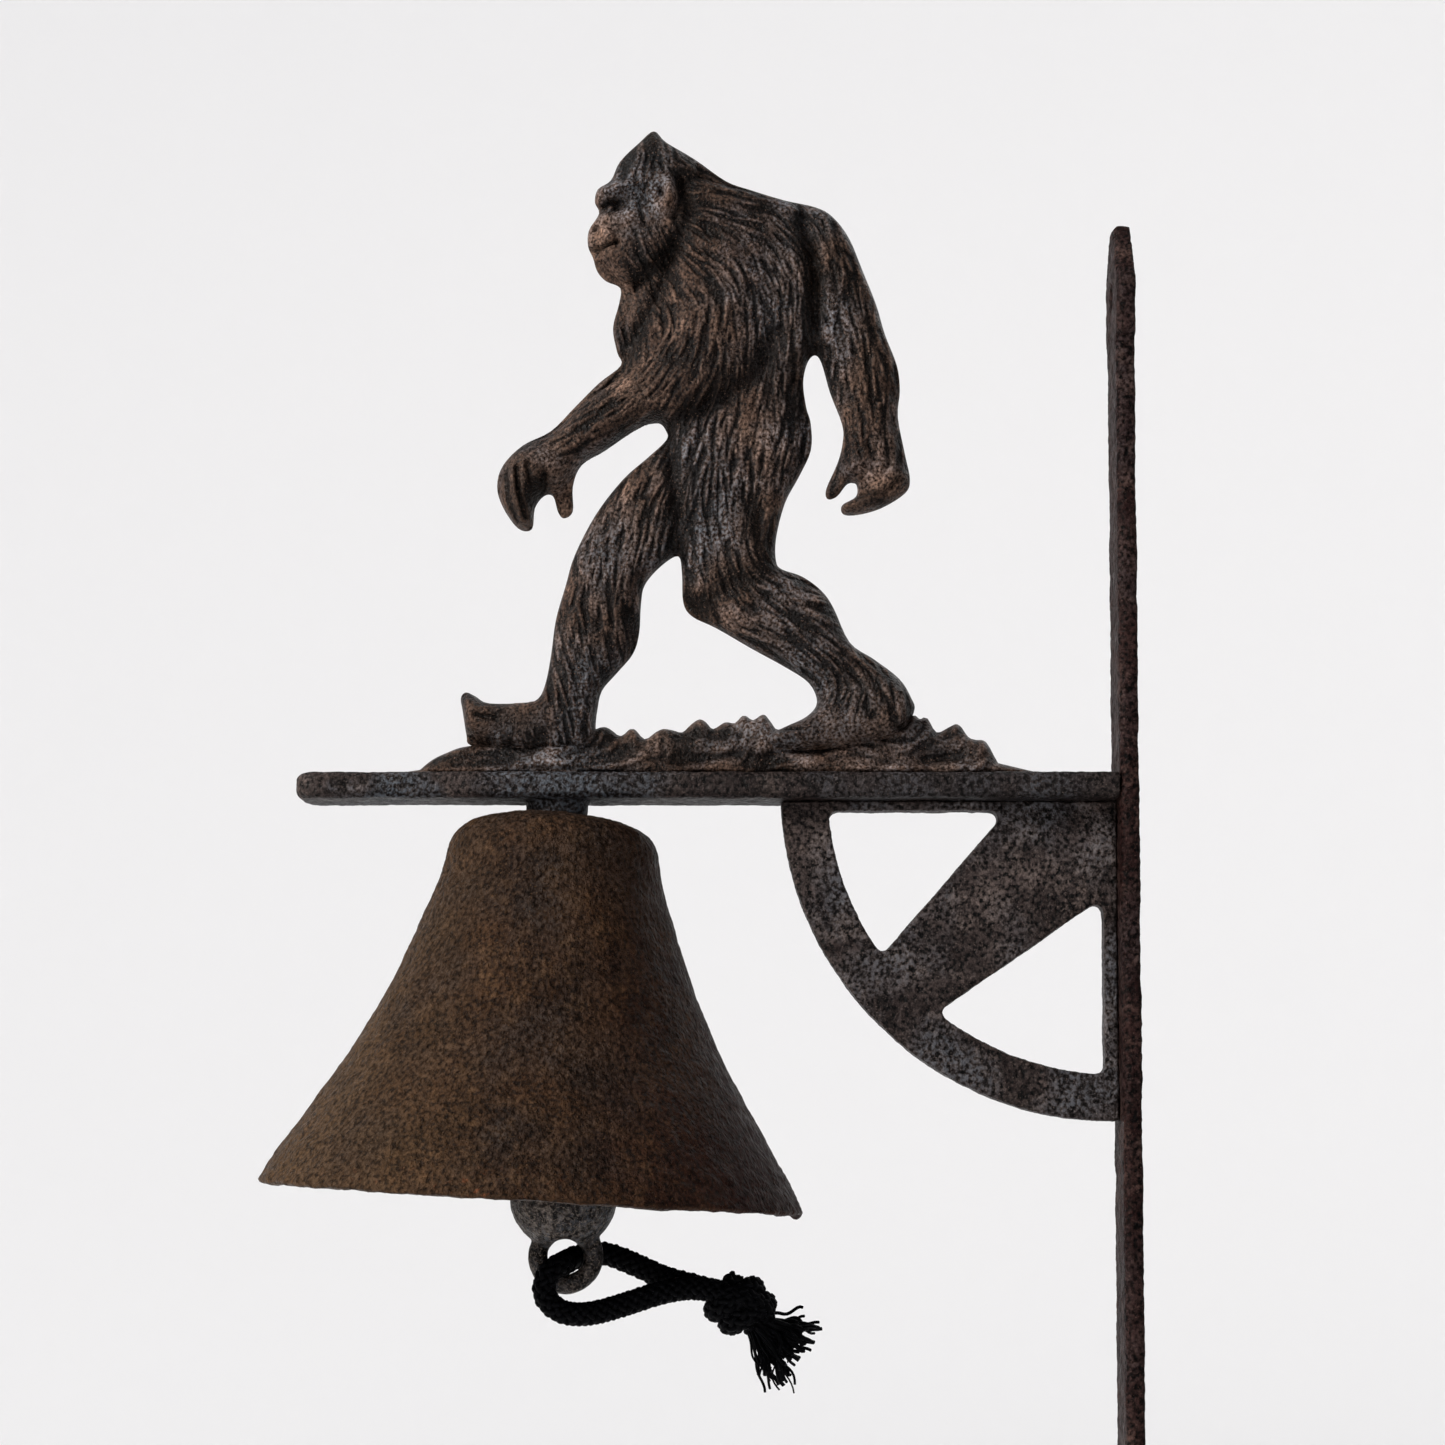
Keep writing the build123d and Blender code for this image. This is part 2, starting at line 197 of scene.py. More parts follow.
def blend_colours(tree, factor, low, high):
    """Mix from low to high; each may be a colour or a socket."""
    node = new_node(tree, "Mix", data_type="RGBA")
    tree.links.new(factor, node.inputs["Factor"])
    for socket, value in ((node.inputs[COLOUR_A], low), (node.inputs[COLOUR_B], high)):
        if isinstance(value, bpy.types.NodeSocket):
            tree.links.new(value, socket)
        else:
            socket.default_value = (*value, 1)
    return node.outputs[COLOUR_RESULT]


def multiply(tree, a, b):
    """The product of a socket and another socket or a number."""
    node = new_node(tree, "Math", operation="MULTIPLY")
    tree.links.new(a, node.inputs[0])
    if isinstance(b, (int, float)):
        node.inputs[1].default_value = b
    else:
        tree.links.new(b, node.inputs[1])
    return node.outputs[0]


def start_material(name):
    material = bpy.data.materials.new(name)
    material.use_nodes = True
    tree = material.node_tree
    where = tree.nodes.new("ShaderNodeTexCoord").outputs["Object"]
    return material, tree, where, tree.nodes["Principled BSDF"]


def add_bump(tree, shader, layers):
    """Stack bump layers (height, distance in metres) into the shader's normal."""
    normal = None
    for height, distance in layers:
        bump = new_node(tree, "Bump", Strength=1.0, Distance=distance)
        tree.links.new(height, bump.inputs["Height"])
        if normal:
            tree.links.new(normal, bump.inputs["Normal"])
        normal = bump.outputs["Normal"]
    tree.links.new(normal, shader.inputs["Normal"])


def scaled(tree, colour, factor):
    node = new_node(tree, "VectorMath", operation="SCALE")
    tree.links.new(colour, node.inputs[0])
    tree.links.new(factor, node.inputs["Scale"])
    return node.outputs[0]


def remap(tree, value, low, high, to_low, to_high):
    """Stretch low..high to to_low..to_high, and hold it there."""
    node = new_node(tree, "MapRange")
    for key, number in (("From Min", low), ("From Max", high), ("To Min", to_low), ("To Max", to_high)):
        node.inputs[key].default_value = number
    tree.links.new(value, node.inputs["Value"])
    return node.outputs["Result"]


RUST = (0.085, 0.022, 0.008)
# How much edges are lightened (wear and painted highlight) and how strong the painted highlight glints are.
EDGE_WEAR_AND_HIGHLIGHT, PAINTED_GLINT = 0.35, 0.40


def patina(tree, where, grains, dark, middle, light, slate, slate_amount):
    """Brown mottling with warmer spots, and blue-grey speckle in patches."""
    mottle = ramp(tree, noise(tree, where, 75, 5), (0.38, 0.0), (0.62, 1.0))
    colour = blend_colours(tree, mottle, dark, middle)
    warm = ramp(tree, noise(tree, where, 170, 5, 0.7), (0.50, 0.0), (0.70, 1.0))
    colour = blend_colours(tree, multiply(tree, warm, 0.55), colour, light)
    patches = ramp(tree, noise(tree, where, 42, 3), (0.44, 0.0), (0.62, 1.0))
    speckle = ramp(tree, grains, (0.44, 0.15), (0.58, 1.0))
    slate_mask = multiply(tree, multiply(tree, patches, speckle), slate_amount)
    return blend_colours(tree, slate_mask, colour, slate)


def rusted(tree, where, colour, amount):
    """Rust spots where the mesh's ridge attribute is high."""
    spots = ramp(tree, noise(tree, where, 420, 3, 0.7), (0.62, 0.0), (0.70, 1.0))
    low_edge = new_node(tree, "Attribute", attribute_name="rust_and_painted_shade").outputs["Fac"]
    return blend_colours(tree, multiply(tree, multiply(tree, spots, low_edge), amount), colour, RUST)


def paint_side_shading(tree, where, colour, tinting):
    """Painted light and shade on one side of a part: a blotchy tint that grows from one x to
    another; it takes (from x, to x, tint).
    """
    start, end, tint = tinting
    axes = tree.nodes.new("ShaderNodeSeparateXYZ")
    tree.links.new(where, axes.inputs[0])
    side = remap(tree, axes.outputs["X"], start, end, 0.0, 0.85)
    blotches = ramp(tree, noise(tree, where, 26, 4), (0.30, 0.25), (0.55, 1.0))
    return blend_colours(tree, multiply(tree, side, blotches), colour, tint)


def wear_and_painted_glints(tree, where, colour, light):
    """Lighter edges, partly wear and partly a painted highlight along the bevels, and a few painted
    highlight glints.
    """
    sharpness = tree.nodes.new("ShaderNodeNewGeometry").outputs["Pointiness"]
    # Lighter sharp edges: wear, and a painted highlight along the bevels.
    edges = ramp(tree, sharpness, (0.52, 0.0), (0.60, 1.0))
    colour = blend_colours(tree, multiply(tree, edges, EDGE_WEAR_AND_HIGHLIGHT), colour, light)
    # Painted highlights: bright glints at twice the light colour.
    painted_glints = ramp(tree, noise(tree, where, 2300, 1), (0.66, 0.0), (0.73, 1.0))
    return blend_colours(tree, multiply(tree, painted_glints, PAINTED_GLINT), colour, [2.0 * c for c in light])


def iron(name, dark, middle, light, slate, slate_amount, grain, shine, rust_amount=0.0,
         painted_shading=False, grain_and_shade_tones=(0.12, 2.5), veins=0.0, painted_side_shading=(), sand_depth=0.0008):
    """Rust-brown patina over rough cast iron: mottling, blue-grey speckle and grain, the grain tops
    painted lighter and the hollows darker (painted light and shade), lighter worn edges that are
    partly a painted highlight, and painted highlight glints.

    ridges paints light and shade from the mesh's ridge attribute, stains paints one side lighter
    or darker (painted light and shade), and veins draws a fine light crackle."""
    material, tree, where, shader = start_material(name)
    grains = noise(tree, where, grain, 1.4, 0.5)
    colour = patina(tree, where, grains, dark, middle, light, slate, slate_amount)
    if rust_amount:
        colour = rusted(tree, where, colour, rust_amount)
    # Painted light and shade: the colour is scaled by the ridge attribute, darker in creases and lighter on
    # high places.
    if painted_shading:
        height = new_node(tree, "Attribute", attribute_name="rust_and_painted_shade").outputs["Fac"]
        colour = scaled(tree, colour, remap(tree, height, 0.15, 0.85, 0.12, 2.7))
    # Painted light and shade: each entry lightens or darkens one side of the part.
    for tinting in painted_side_shading:
        colour = paint_side_shading(tree, where, colour, tinting)
    # Grain colour with painted light and shade: the grain noise is also the bump, so its tops are painted
    # lighter and its hollows darker.
    colour = scaled(tree, colour, remap(tree, grains, 0.34, 0.66, *grain_and_shade_tones))
    if veins:
        crackle = ramp(tree, noise(tree, where, 520, 2), (0.475, 0.0), (0.50, 1.0), (0.525, 0.0))
        colour = blend_colours(tree, multiply(tree, crackle, veins), colour, light)
    tree.links.new(wear_and_painted_glints(tree, where, colour, light), shader.inputs["Base Color"])
    gloss = ramp(tree, noise(tree, where, 330, 3), (0.3, 0.36), (0.7, 0.62))
    tree.links.new(gloss, shader.inputs["Roughness"])
    shader.inputs["Specular IOR Level"].default_value = shine
    sand = noise(tree, where, 620, 3, 0.6)
    add_bump(tree, shader, [(sand, sand_depth), (grains, 0.0004)])
    return material


def dull_steel():
    material, tree, where, shader = start_material("dull_steel")
    tinting = ramp(tree, noise(tree, where, 160, 4), (0.35, 0.0), (0.7, 1.0))
    colour = blend_colours(tree, tinting, (0.22, 0.20, 0.18), (0.34, 0.33, 0.31))
    rust = ramp(tree, noise(tree, where, 520, 4, 0.7), (0.56, 0.0), (0.68, 1.0))
    colour = blend_colours(tree, multiply(tree, rust, 0.6), colour, (0.16, 0.06, 0.03))
    tree.links.new(colour, shader.inputs["Base Color"])
    tree.links.new(ramp(tree, noise(tree, where, 300, 3), (0.3, 0.3), (0.7, 0.5)), shader.inputs["Roughness"])
    shader.inputs["Metallic"].default_value = 0.9
    add_bump(tree, shader, [(noise(tree, where, 1500, 3), 0.00006)])
    return material


def black_cord():
    material, tree, where, shader = start_material("black_cord")
    mottle = ramp(tree, noise(tree, where, 900, 3), (0.35, 0.0), (0.7, 1.0))
    colour = blend_colours(tree, mottle, (0.0004, 0.0004, 0.0006), (0.0013, 0.0014, 0.0019))
    # Painted highlights: faint blue-grey specks on the fibres.
    painted_fibre_highlights = ramp(tree, noise(tree, where, 2600, 1), (0.68, 0.0), (0.76, 1.0))
    colour = blend_colours(tree, multiply(tree, painted_fibre_highlights, 0.30), colour, (0.012, 0.013, 0.016))
    tree.links.new(colour, shader.inputs["Base Color"])
    shader.inputs["Roughness"].default_value = 0.55
    shader.inputs["Specular IOR Level"].default_value = 0.018
    add_bump(tree, shader, [(noise(tree, where, 3800, 2), 0.00010)])
    return material


# ---------------- mesh helpers
def make_piece(name, points, faces, material, body, replaced=(), rust_and_painted_shade=None):
    """A mesh object from points in millimetres, riding on a body."""
    mesh = bpy.data.meshes.new(name)
    corners = [tuple(int(i) for i in face) for face in faces]
    mesh.from_pydata((np.asarray(points) * MM).tolist(), [], corners)
    mesh.validate()
    mesh.materials.append(material)
    mesh.shade_smooth()
    # A per-point value kept as an attribute: painted light and shade on the reliefs, a rust mask on the bell.
    if rust_and_painted_shade is not None:
        layer = mesh.attributes.new("rust_and_painted_shade", "FLOAT", "POINT")
        layer.data.foreach_set("value", np.asarray(rust_and_painted_shade, np.float32))
    piece = bpy.data.objects.new(name, mesh)
    bpy.context.collection.objects.link(piece)
    return finish_piece(piece, body, replaced)


def finish_piece(piece, body, replaced=()):
    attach(piece, body)
    if replaced:
        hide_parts(*replaced)
    return piece


def remeshed(node, name, voxel):
    """A voxel remesh of a CAD node (voxel in mm), its edges softened."""
    shape = bpy.data.objects.new(name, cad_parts[node].data.copy())
    bpy.context.collection.objects.link(shape)
    remesh = shape.modifiers.new("remesh", "REMESH")
    remesh.mode = "VOXEL"
    remesh.voxel_size = voxel * MM
    soften = shape.modifiers.new("soften", "SMOOTH")
    soften.factor = 0.5
    soften.iterations = 4
    graph = bpy.context.evaluated_depsgraph_get()
    skin = bpy.data.meshes.new_from_object(shape.evaluated_get(graph))
    bpy.data.objects.remove(shape)
    return skin


def cast_copy(node, name, material, body, voxel, seed, rough):
    """A sand-cast skin over a CAD node."""
    skin = remeshed(node, name, voxel)
    points = np.empty(len(skin.vertices) * 3)
    normals = np.empty(len(skin.vertices) * 3)
    skin.vertices.foreach_get("co", points)
    skin.vertex_normals.foreach_get("vector", normals)
    points = sand_cast(points.reshape(-1, 3) / MM, normals.reshape(-1, 3), rough=rough, seed=seed)
    skin.vertices.foreach_set("co", (points * MM).ravel())
    skin.update()
    skin.shade_smooth()
    skin.materials.clear()
    skin.materials.append(material)
    skin.name = name
    piece = bpy.data.objects.new(name, skin)
    bpy.context.collection.objects.link(piece)
    return finish_piece(piece, body, (node,))


def spline_point(a, b, c, d, t):
    """The Catmull-Rom point between b and c."""
    return 0.5 * (2 * b + (c - a) * t + (2 * a - 5 * b + 4 * c - d) * t**2
                  + (3 * b - a - 3 * c + d) * t**3)


def curve_through(points, steps):
    """An open Catmull-Rom curve through points (n, k)."""
    points = np.asarray(points, float)
    padded = np.vstack([2 * points[0] - points[1], points, 2 * points[-1] - points[-2]])
    out = []
    for a, b, c, d in zip(padded, padded[1:], padded[2:], padded[3:]):
        for t in np.arange(steps) / steps:
            out.append(spline_point(a, b, c, d, t))
    out.append(points[-1])
    return np.array(out)


def smooth_loop(points, steps=4):
    """A closed Catmull-Rom loop."""
    points = np.asarray(points, float)
    before, after, beyond = np.roll(points, 1, 0), np.roll(points, -1, 0), np.roll(points, -2, 0)
    out = []
    for a, b, c, d in zip(before, points, after, beyond):
        for t in np.arange(steps) / steps:
            out.append(spline_point(a, b, c, d, t))
    return np.array(out)


def tube(path, radius, sides=8):
    """Points and faces of a round tube along path (n, 3); radius may vary along it."""
    path = np.asarray(path, float)
    radius = np.broadcast_to(radius, len(path))
    ways = np.gradient(path, axis=0)
    ways /= np.linalg.norm(ways, axis=1)[:, None]
    side = np.cross(ways[0], (0.31, 0.52, 0.79))
    points, faces = [], []
    for place, way, size in zip(path, ways, radius):
        side = side - way * side.dot(way)
        side /= np.linalg.norm(side)
        other = np.cross(way, side)
        for k in range(sides):
            turn = tau * k / sides
            points.append(place + size * (cos(turn) * side + sin(turn) * other))
    for ring in range(len(path) - 1):
        for k in range(sides):
            a, b = ring * sides + k, ring * sides + (k + 1) % sides
            faces.append((a, b, b + sides, a + sides))
    faces.append(tuple(range(sides))[::-1])
    faces.append(tuple(len(points) - sides + k for k in range(sides)))
    return points, faces


def join_shapes(shapes):
    points, faces = [], []
    for more_points, more_faces in shapes:
        base = len(points)
        points.extend(more_points)
        faces.extend(tuple(i + base for i in face) for face in more_faces)
    return points, faces


# ---------------- relief castings
def outline_field(loop, grid):
    """For grid points (n, 2): inside or not, distance to the loop, and the nearest point on it."""
    inside = np.zeros(len(grid), bool)
    best = np.full(len(grid), 1e9)
    nearest = np.zeros_like(grid)
    for (x1, z1), (x2, z2) in zip(loop, np.roll(loop, -1, axis=0)):
        crosses = (z1 > grid[:, 1]) != (z2 > grid[:, 1])
        if abs(z2 - z1) > 1e-9:
            inside ^= crosses & (grid[:, 0] < (x2 - x1) * (grid[:, 1] - z1) / (z2 - z1) + x1)
        along = np.array((x2 - x1, z2 - z1))
        length = max(along.dot(along), 1e-12)
        t = np.clip(((grid - (x1, z1)) @ along) / length, 0, 1)
        foot = np.array((x1, z1)) + t[:, None] * along
        gap = np.hypot(*(grid - foot).T)
        closer = gap < best
        best[closer] = gap[closer]
        nearest[closer] = foot[closer]
    return inside, best, nearest


def relief_grid(loop, step):
    """Grid cells inside the loop: points used, on its edge or not, their gap to it, and quads."""
    low, high = loop.min(0) - step, loop.max(0) + step
    xs = np.arange(low[0], high[0], step)
    zs = np.arange(low[1], high[1], step)
    grid = np.stack(np.meshgrid(xs, zs, indexing="ij"), -1).reshape(-1, 2)
    inside, gap, nearest = outline_field(loop, grid)
    inside = inside.reshape(len(xs), len(zs))
    cell = inside[:-1, :-1] & inside[1:, :-1] & inside[:-1, 1:] & inside[1:, 1:]
    around = np.zeros((len(xs), len(zs)), int)
    for dx, dz in product((0, 1), repeat=2):
        around[dx:dx + cell.shape[0], dz:dz + cell.shape[1]] += cell
    used = (around > 0).ravel()
    edge = used & (around < 4).ravel()
    grid[edge] = nearest[edge]
    gap = np.where(edge, 0.0, gap)
    index = np.full(len(grid), -1)
    index[used] = np.arange(used.sum())
    ix, iz = np.nonzero(cell)
    corners = ((0, 0), (1, 0), (1, 1), (0, 1))
    quads = np.stack([index[(ix + dx) * len(zs) + iz + dz] for dx, dz in corners], 1)
    return grid[used], edge[used], gap[used], quads


def relief(name, loop, height, step, material, replaced):
    """A two-faced relief inside a closed outline; height(xz, edge distance) gives mm and the
    painted light and shade, from 0 (painted dark) to 1 (painted light).
    """
    place, on_edge, gap, quads = relief_grid(np.asarray(loop), step)
    lift, rust_and_painted_shade = height(place, gap)
    front = np.stack([place[:, 0], -np.where(on_edge, 0, lift), place[:, 1]], 1)
    back = front * (1, -1, 1)
    free = ~on_edge
    back_index = np.arange(len(place))
    back_index[free] = len(place) + np.arange(free.sum())
    points = np.vstack([front, back[free]])
    faces = np.vstack([quads, back_index[quads][:, ::-1]])
    depthways = np.tile((0, 1, 0), (len(points), 1))
    points = sand_cast(points, depthways, rough=0.05, lumps=0.10, seed=5)
    points[:len(place)][on_edge, 1] = 0
    painted_shading = np.concatenate([rust_and_painted_shade, rust_and_painted_shade[free]])
    return make_piece(name, points, faces, material, "bracket", replaced, rust_and_painted_shade=painted_shading)


def edge_round(gap, width):
    """0 at the outline, rising like a quarter circle to 1 at width from it."""
    return np.sqrt(np.clip(1 - (1 - np.clip(gap / width, 0, 1)) ** 2, 0, 1))


def limb_height(place, chain, depth):
    """Height of a round limb over its tapered chain of stations (x, z, radius)."""
    best = np.zeros(len(place))
    for (x1, z1, r1), (x2, z2, r2) in zip(chain, chain[1:]):
        along = np.array((x2 - x1, z2 - z1))
        t = np.clip(((place - (x1, z1)) @ along) / along.dot(along), 0, 1)
        gap = np.hypot(*(place - (x1, z1) - t[:, None] * along).T)
        radius = r1 + (r2 - r1) * t
        best = np.maximum(best, depth * np.sqrt(np.clip(1 - (gap / radius) ** 2, 0, 1)))
    return best


def flat_noise(place, size, seed):
    """Value noise over the picture plane of a relief."""
    return value_noise(np.stack([place[:, 0], place[:, 1], place[:, 0] * 0], 1), size, seed)


def bump_at(place, x, z, rx, rz, size, tilt):
    """A soft oval bump (or hollow, with a negative size)."""
    dx, dz = place[:, 0] - x, place[:, 1] - z
    a, b = radians(tilt), radians(tilt + 90)
    u = (dx * cos(a) + dz * sin(a)) / rx
    v = (dx * cos(b) + dz * sin(b)) / rz
    return size * np.exp(-(u * u + v * v) * 1.4)


def groove(place, path, width, depth):
    """A soft groove along an open path."""
    best = np.full(len(place), 1e9)
    for start, end in zip(path, path[1:]):
        along = np.subtract(end, start)
        t = np.clip(((place - start) @ along) / along.dot(along), 0, 1)
        best = np.minimum(best, np.hypot(*(place - start - t[:, None] * along).T))
    return -depth * np.exp(-(best / width) ** 2)


def direction_field(flow, low, high, cell):
    """Unit flow directions on a coarse grid, from scattered (x, z, dx, dz) samples."""
    flow = np.asarray(flow, float)
    ways = flow[:, 2:] / np.linalg.norm(flow[:, 2:], axis=1)[:, None]
    xs = np.arange(low[0], high[0] + cell, cell)
    zs = np.arange(low[1], high[1] + cell, cell)
    grid = np.stack(np.meshgrid(xs, zs, indexing="ij"), -1)
    weight = 1 / (((grid[:, :, None] - flow[:, :2]) ** 2).sum(-1) + 4.0) ** 2
    field = weight @ ways
    return field / np.linalg.norm(field, axis=-1)[..., None]


FLOW_CELL = 1.5


def lay_lock(canvas, field, low, step, half, spot, reach, thick, tall, wander):
    """Carve one lock into the canvas: it follows the flow, tapers, and rises towards its tip."""
    span = np.arange(-half, half + 1)
    offsets = np.stack(np.meshgrid(span, span, indexing="ij"), -1)
    for travelled in np.arange(0, reach, step):
        at = ((spot - low) / FLOW_CELL + 0.5).astype(int)
        if (at < 0).any() or at[0] >= field.shape[0] or at[1] >= field.shape[1]:
            return
        way = field[at[0], at[1]]
        way = way + wander * np.array((-way[1], way[0]))
        spot = spot + way * step
        cut = np.round((spot - low) / step).astype(int) + half
        if (cut < half).any() or (cut >= np.array(canvas.shape) - half).any():
            return
        along = travelled / reach
        gap = (offsets + cut - half) * step + low - spot
        across = gap[..., 0] * -way[1] + gap[..., 1] * way[0]
        forward = gap[..., 0] * way[0] + gap[..., 1] * way[1]
        body = np.clip(1 - (across / (thick * (1 - 0.6 * along**3))) ** 2, 0, 1)
        lock = tall * (0.35 + 0.65 * along) * (1 - along**8) * body * (np.abs(forward) < 0.8 * step)
        window = canvas[cut[0] - half:cut[0] + half + 1, cut[1] - half:cut[1] + half + 1]
        np.maximum(window, lock, out=window)


def strands(place, flow, width, length, seed, cover=2.4, step=0.25):
    """Hair carved along a flow field: overlapping locks, each highest near its tip, from 0 to 1."""
    draw = np.random.default_rng(seed)
    low, high = place.min(0), place.max(0)
    field = direction_field(flow, low, high, FLOW_CELL)
    half = int(np.ceil(width * 0.6 / step)) + 1
    canvas = np.zeros(np.ceil((high - low) / step).astype(int) + 2 * half + 2)
    count = int(cover * np.prod(high - low) / (width * length))
    for spot in low + draw.random((count, 2)) * (high - low):
        reach = length * draw.uniform(0.55, 1.35)
        thick = width * draw.uniform(0.40, 0.62)
        tall = draw.uniform(0.60, 1.0)
        wander = draw.uniform(-0.20, 0.20)
        lay_lock(canvas, field, low, step, half, spot, reach, thick, tall, wander)
    return sample(canvas, (place - low) / step + half)


def sample(canvas, at):
    """Bilinear look-up in a grid of values."""
    corner = np.floor(at).astype(int)
    part = at - corner
    total = np.zeros(len(at))
    for dx, dz in product((0, 1), repeat=2):
        weight = np.where(dx, part[:, 0], 1 - part[:, 0]) * np.where(dz, part[:, 1], 1 - part[:, 1])
        total += weight * canvas[corner[:, 0] + dx, corner[:, 1] + dz]
    return total


# ---------------- walking figure
# Outlines of the figure and the mound, the way the hair lies (x, z, direction), and the limbs'
# round stations (x, z, radius), all in millimetres.
BODY_OUTLINE = [
    (-113.4, 191.9), (-116.8, 189.2), (-121.5, 184.5), (-123.7, 179.9), (-126.8, 177.7), (-127.5, 174.5),
    (-126.5, 171.8), (-128.9, 167.7), (-129.1, 163.8), (-127.9, 160.9), (-126.9, 157.7), (-124.8, 155.3),
    (-121.4, 153.6), (-121.7, 149.7), (-123.1, 143.9), (-122.1, 138.1), (-121.2, 134.9), (-126.4, 130.6),
    (-132.1, 124.8), (-137.8, 119.0), (-144.4, 115.6), (-149.1, 110.8), (-150.5, 105.7), (-149.1, 100.7),
    (-145.5, 95.6), (-142.2, 95.4), (-141.5, 100.4), (-139.4, 103.3), (-137.2, 103.3), (-136.0, 99.5),
    (-134.6, 98.0), (-132.5, 99.7), (-132.5, 105.7), (-130.4, 110.8), (-124.7, 114.4), (-116.6, 119.9),
    (-112.3, 120.9), (-110.4, 119.0), (-110.4, 116.8), (-114.9, 112.5), (-120.6, 107.4), (-127.0, 99.0),
    (-132.0, 89.2), (-134.1, 82.0), (-136.4, 73.8), (-137.5, 65.5), (-138.7, 59.0), (-140.3, 55.2),
    (-143.2, 54.0), (-152.1, 53.8), (-155.4, 55.5), (-157.6, 56.4), (-158.8, 55.0), (-158.3, 51.7),
    (-157.4, 46.2), (-156.4, 43.8), (-149.0, 42.4), (-135.3, 41.4), (-127.8, 44.0), (-126.9, 49.3),
    (-126.6, 51.7), (-125.5, 56.7), (-122.2, 60.7), (-118.2, 65.5), (-116.7, 70.5), (-116.3, 77.2),
    (-115.4, 82.0), (-111.6, 86.5), (-107.5, 88.9), (-106.6, 84.6), (-106.3, 77.9), (-104.2, 74.5),
    (-98.5, 71.7), (-90.3, 66.9), (-82.2, 62.4), (-76.6, 58.6), (-74.7, 54.0), (-77.1, 50.7),
    (-82.0, 48.3), (-86.7, 45.9), (-87.0, 43.1), (-81.1, 41.2), (-66.9, 42.1), (-56.1, 45.0),
    (-51.8, 51.7), (-52.5, 55.2), (-55.3, 59.7), (-61.2, 64.3), (-66.9, 68.3), (-70.8, 76.7),
    (-73.7, 80.8), (-78.2, 84.1), (-82.9, 85.8), (-84.3, 87.7), (-84.3, 93.2), (-82.2, 101.6),
    (-78.8, 108.1), (-76.0, 114.4), (-76.0, 120.7), (-77.1, 124.8), (-77.8, 130.6), (-76.9, 135.2),
    (-75.2, 137.3), (-73.5, 135.6), (-71.4, 128.2), (-68.6, 120.7), (-68.4, 116.6), (-69.6, 111.5),
    (-72.4, 105.0), (-72.0, 102.6), (-69.8, 103.3), (-67.4, 106.2), (-65.3, 106.2), (-65.3, 103.3),
    (-68.6, 101.2), (-68.4, 99.0), (-65.1, 98.8), (-59.4, 100.4), (-53.7, 104.0), (-52.5, 107.4),
    (-53.6, 113.2), (-55.3, 122.4), (-54.8, 128.9), (-55.5, 134.9), (-58.3, 142.4), (-60.4, 149.7),
    (-63.7, 158.2), (-66.8, 165.8), (-70.6, 170.9), (-74.7, 173.3), (-82.1, 175.0), (-90.2, 177.5),
    (-96.2, 179.7), (-103.6, 185.0), (-110.5, 189.2),
]
GRASS_OUTLINE = [
    (-170.2, 35.6), (-168.3, 38.0), (-165.2, 40.5), (-161.6, 42.2), (-158.2, 43.4), (-150.0, 44.6),
    (-140.0, 45.4), (-131.0, 46.2), (-125.7, 48.1), (-123.6, 47.7), (-121.0, 46.0), (-118.2, 47.9),
    (-115.4, 45.3), (-112.8, 46.9), (-111.0, 47.7), (-108.8, 47.4), (-106.5, 46.9), (-104.6, 48.6),
    (-102.5, 50.0), (-100.9, 49.3), (-99.2, 47.7), (-96.4, 49.3), (-94.1, 49.1), (-92.0, 51.0),
    (-89.8, 49.8), (-87.3, 51.2), (-85.4, 49.1), (-83.3, 47.4), (-74.1, 48.1), (-56.5, 48.6),
    (-52.1, 51.0), (-50.4, 50.0), (-48.8, 50.5), (-46.5, 46.9), (-43.6, 48.1), (-41.3, 48.8),
    (-39.0, 45.8), (-37.1, 45.1), (-34.8, 44.6), (-32.0, 39.6), (-28.7, 35.6),
]
FLOW = [
    (-117, 182, -0.25, -1), (-111, 187, 0.3, -1), (-105, 181, 0.85, -0.5), (-114, 169, 0.3, -1),
    (-102, 173, 1, -0.15), (-90, 171, 1, -0.3), (-81, 166, 0.7, -0.75), (-77, 151, 0.05, -1),
    (-98, 163, 0.85, -0.5), (-87, 157, 0.45, -0.9), (-83, 146, 0.1, -1), (-116, 159, 0.55, -0.85),
    (-117, 151, 0.4, -1), (-118, 140, 0.2, -1), (-107, 153, 0.55, -0.85), (-102, 143, -0.1, -1),
    (-93, 143, 0.05, -1), (-110, 134, -0.6, -0.8), (-117, 126, -0.8, -0.6), (-128, 119, -0.85, -0.5),
    (-136, 114, -0.9, -0.4), (-102, 126, -0.45, -0.9), (-93, 126, -0.1, -1), (-81, 126, -0.05, -1),
    (-102, 114, -0.15, -1), (-93, 110, -0.05, -1), (-81, 112, -0.25, -1), (-114, 105, -0.45, -0.9),
    (-121, 95, -0.3, -1), (-126, 83, -0.1, -1), (-128, 69, 0.15, -1), (-133, 57, 0.2, -1),
    (-112, 95, -0.25, -1), (-98, 98, 0, -1), (-86, 98, -0.2, -1), (-100, 83, 0.2, -1),
    (-93, 78, 0.5, -0.85), (-86, 78, 0.9, -0.45), (-76, 78, 0.95, -0.3), (-88, 69, 0.85, -0.5),
    (-76, 66, 0.8, -0.6), (-67, 62, 0.65, -0.75), (-57, 54, 0.3, -1), (-69, 52, -0.4, -0.9),
    (-69, 163, 0.3, -1), (-71, 151, 0.05, -1), (-64, 141, 0.2, -1), (-64, 129, 0.1, -1),
    (-62, 117, 0.05, -1),
]
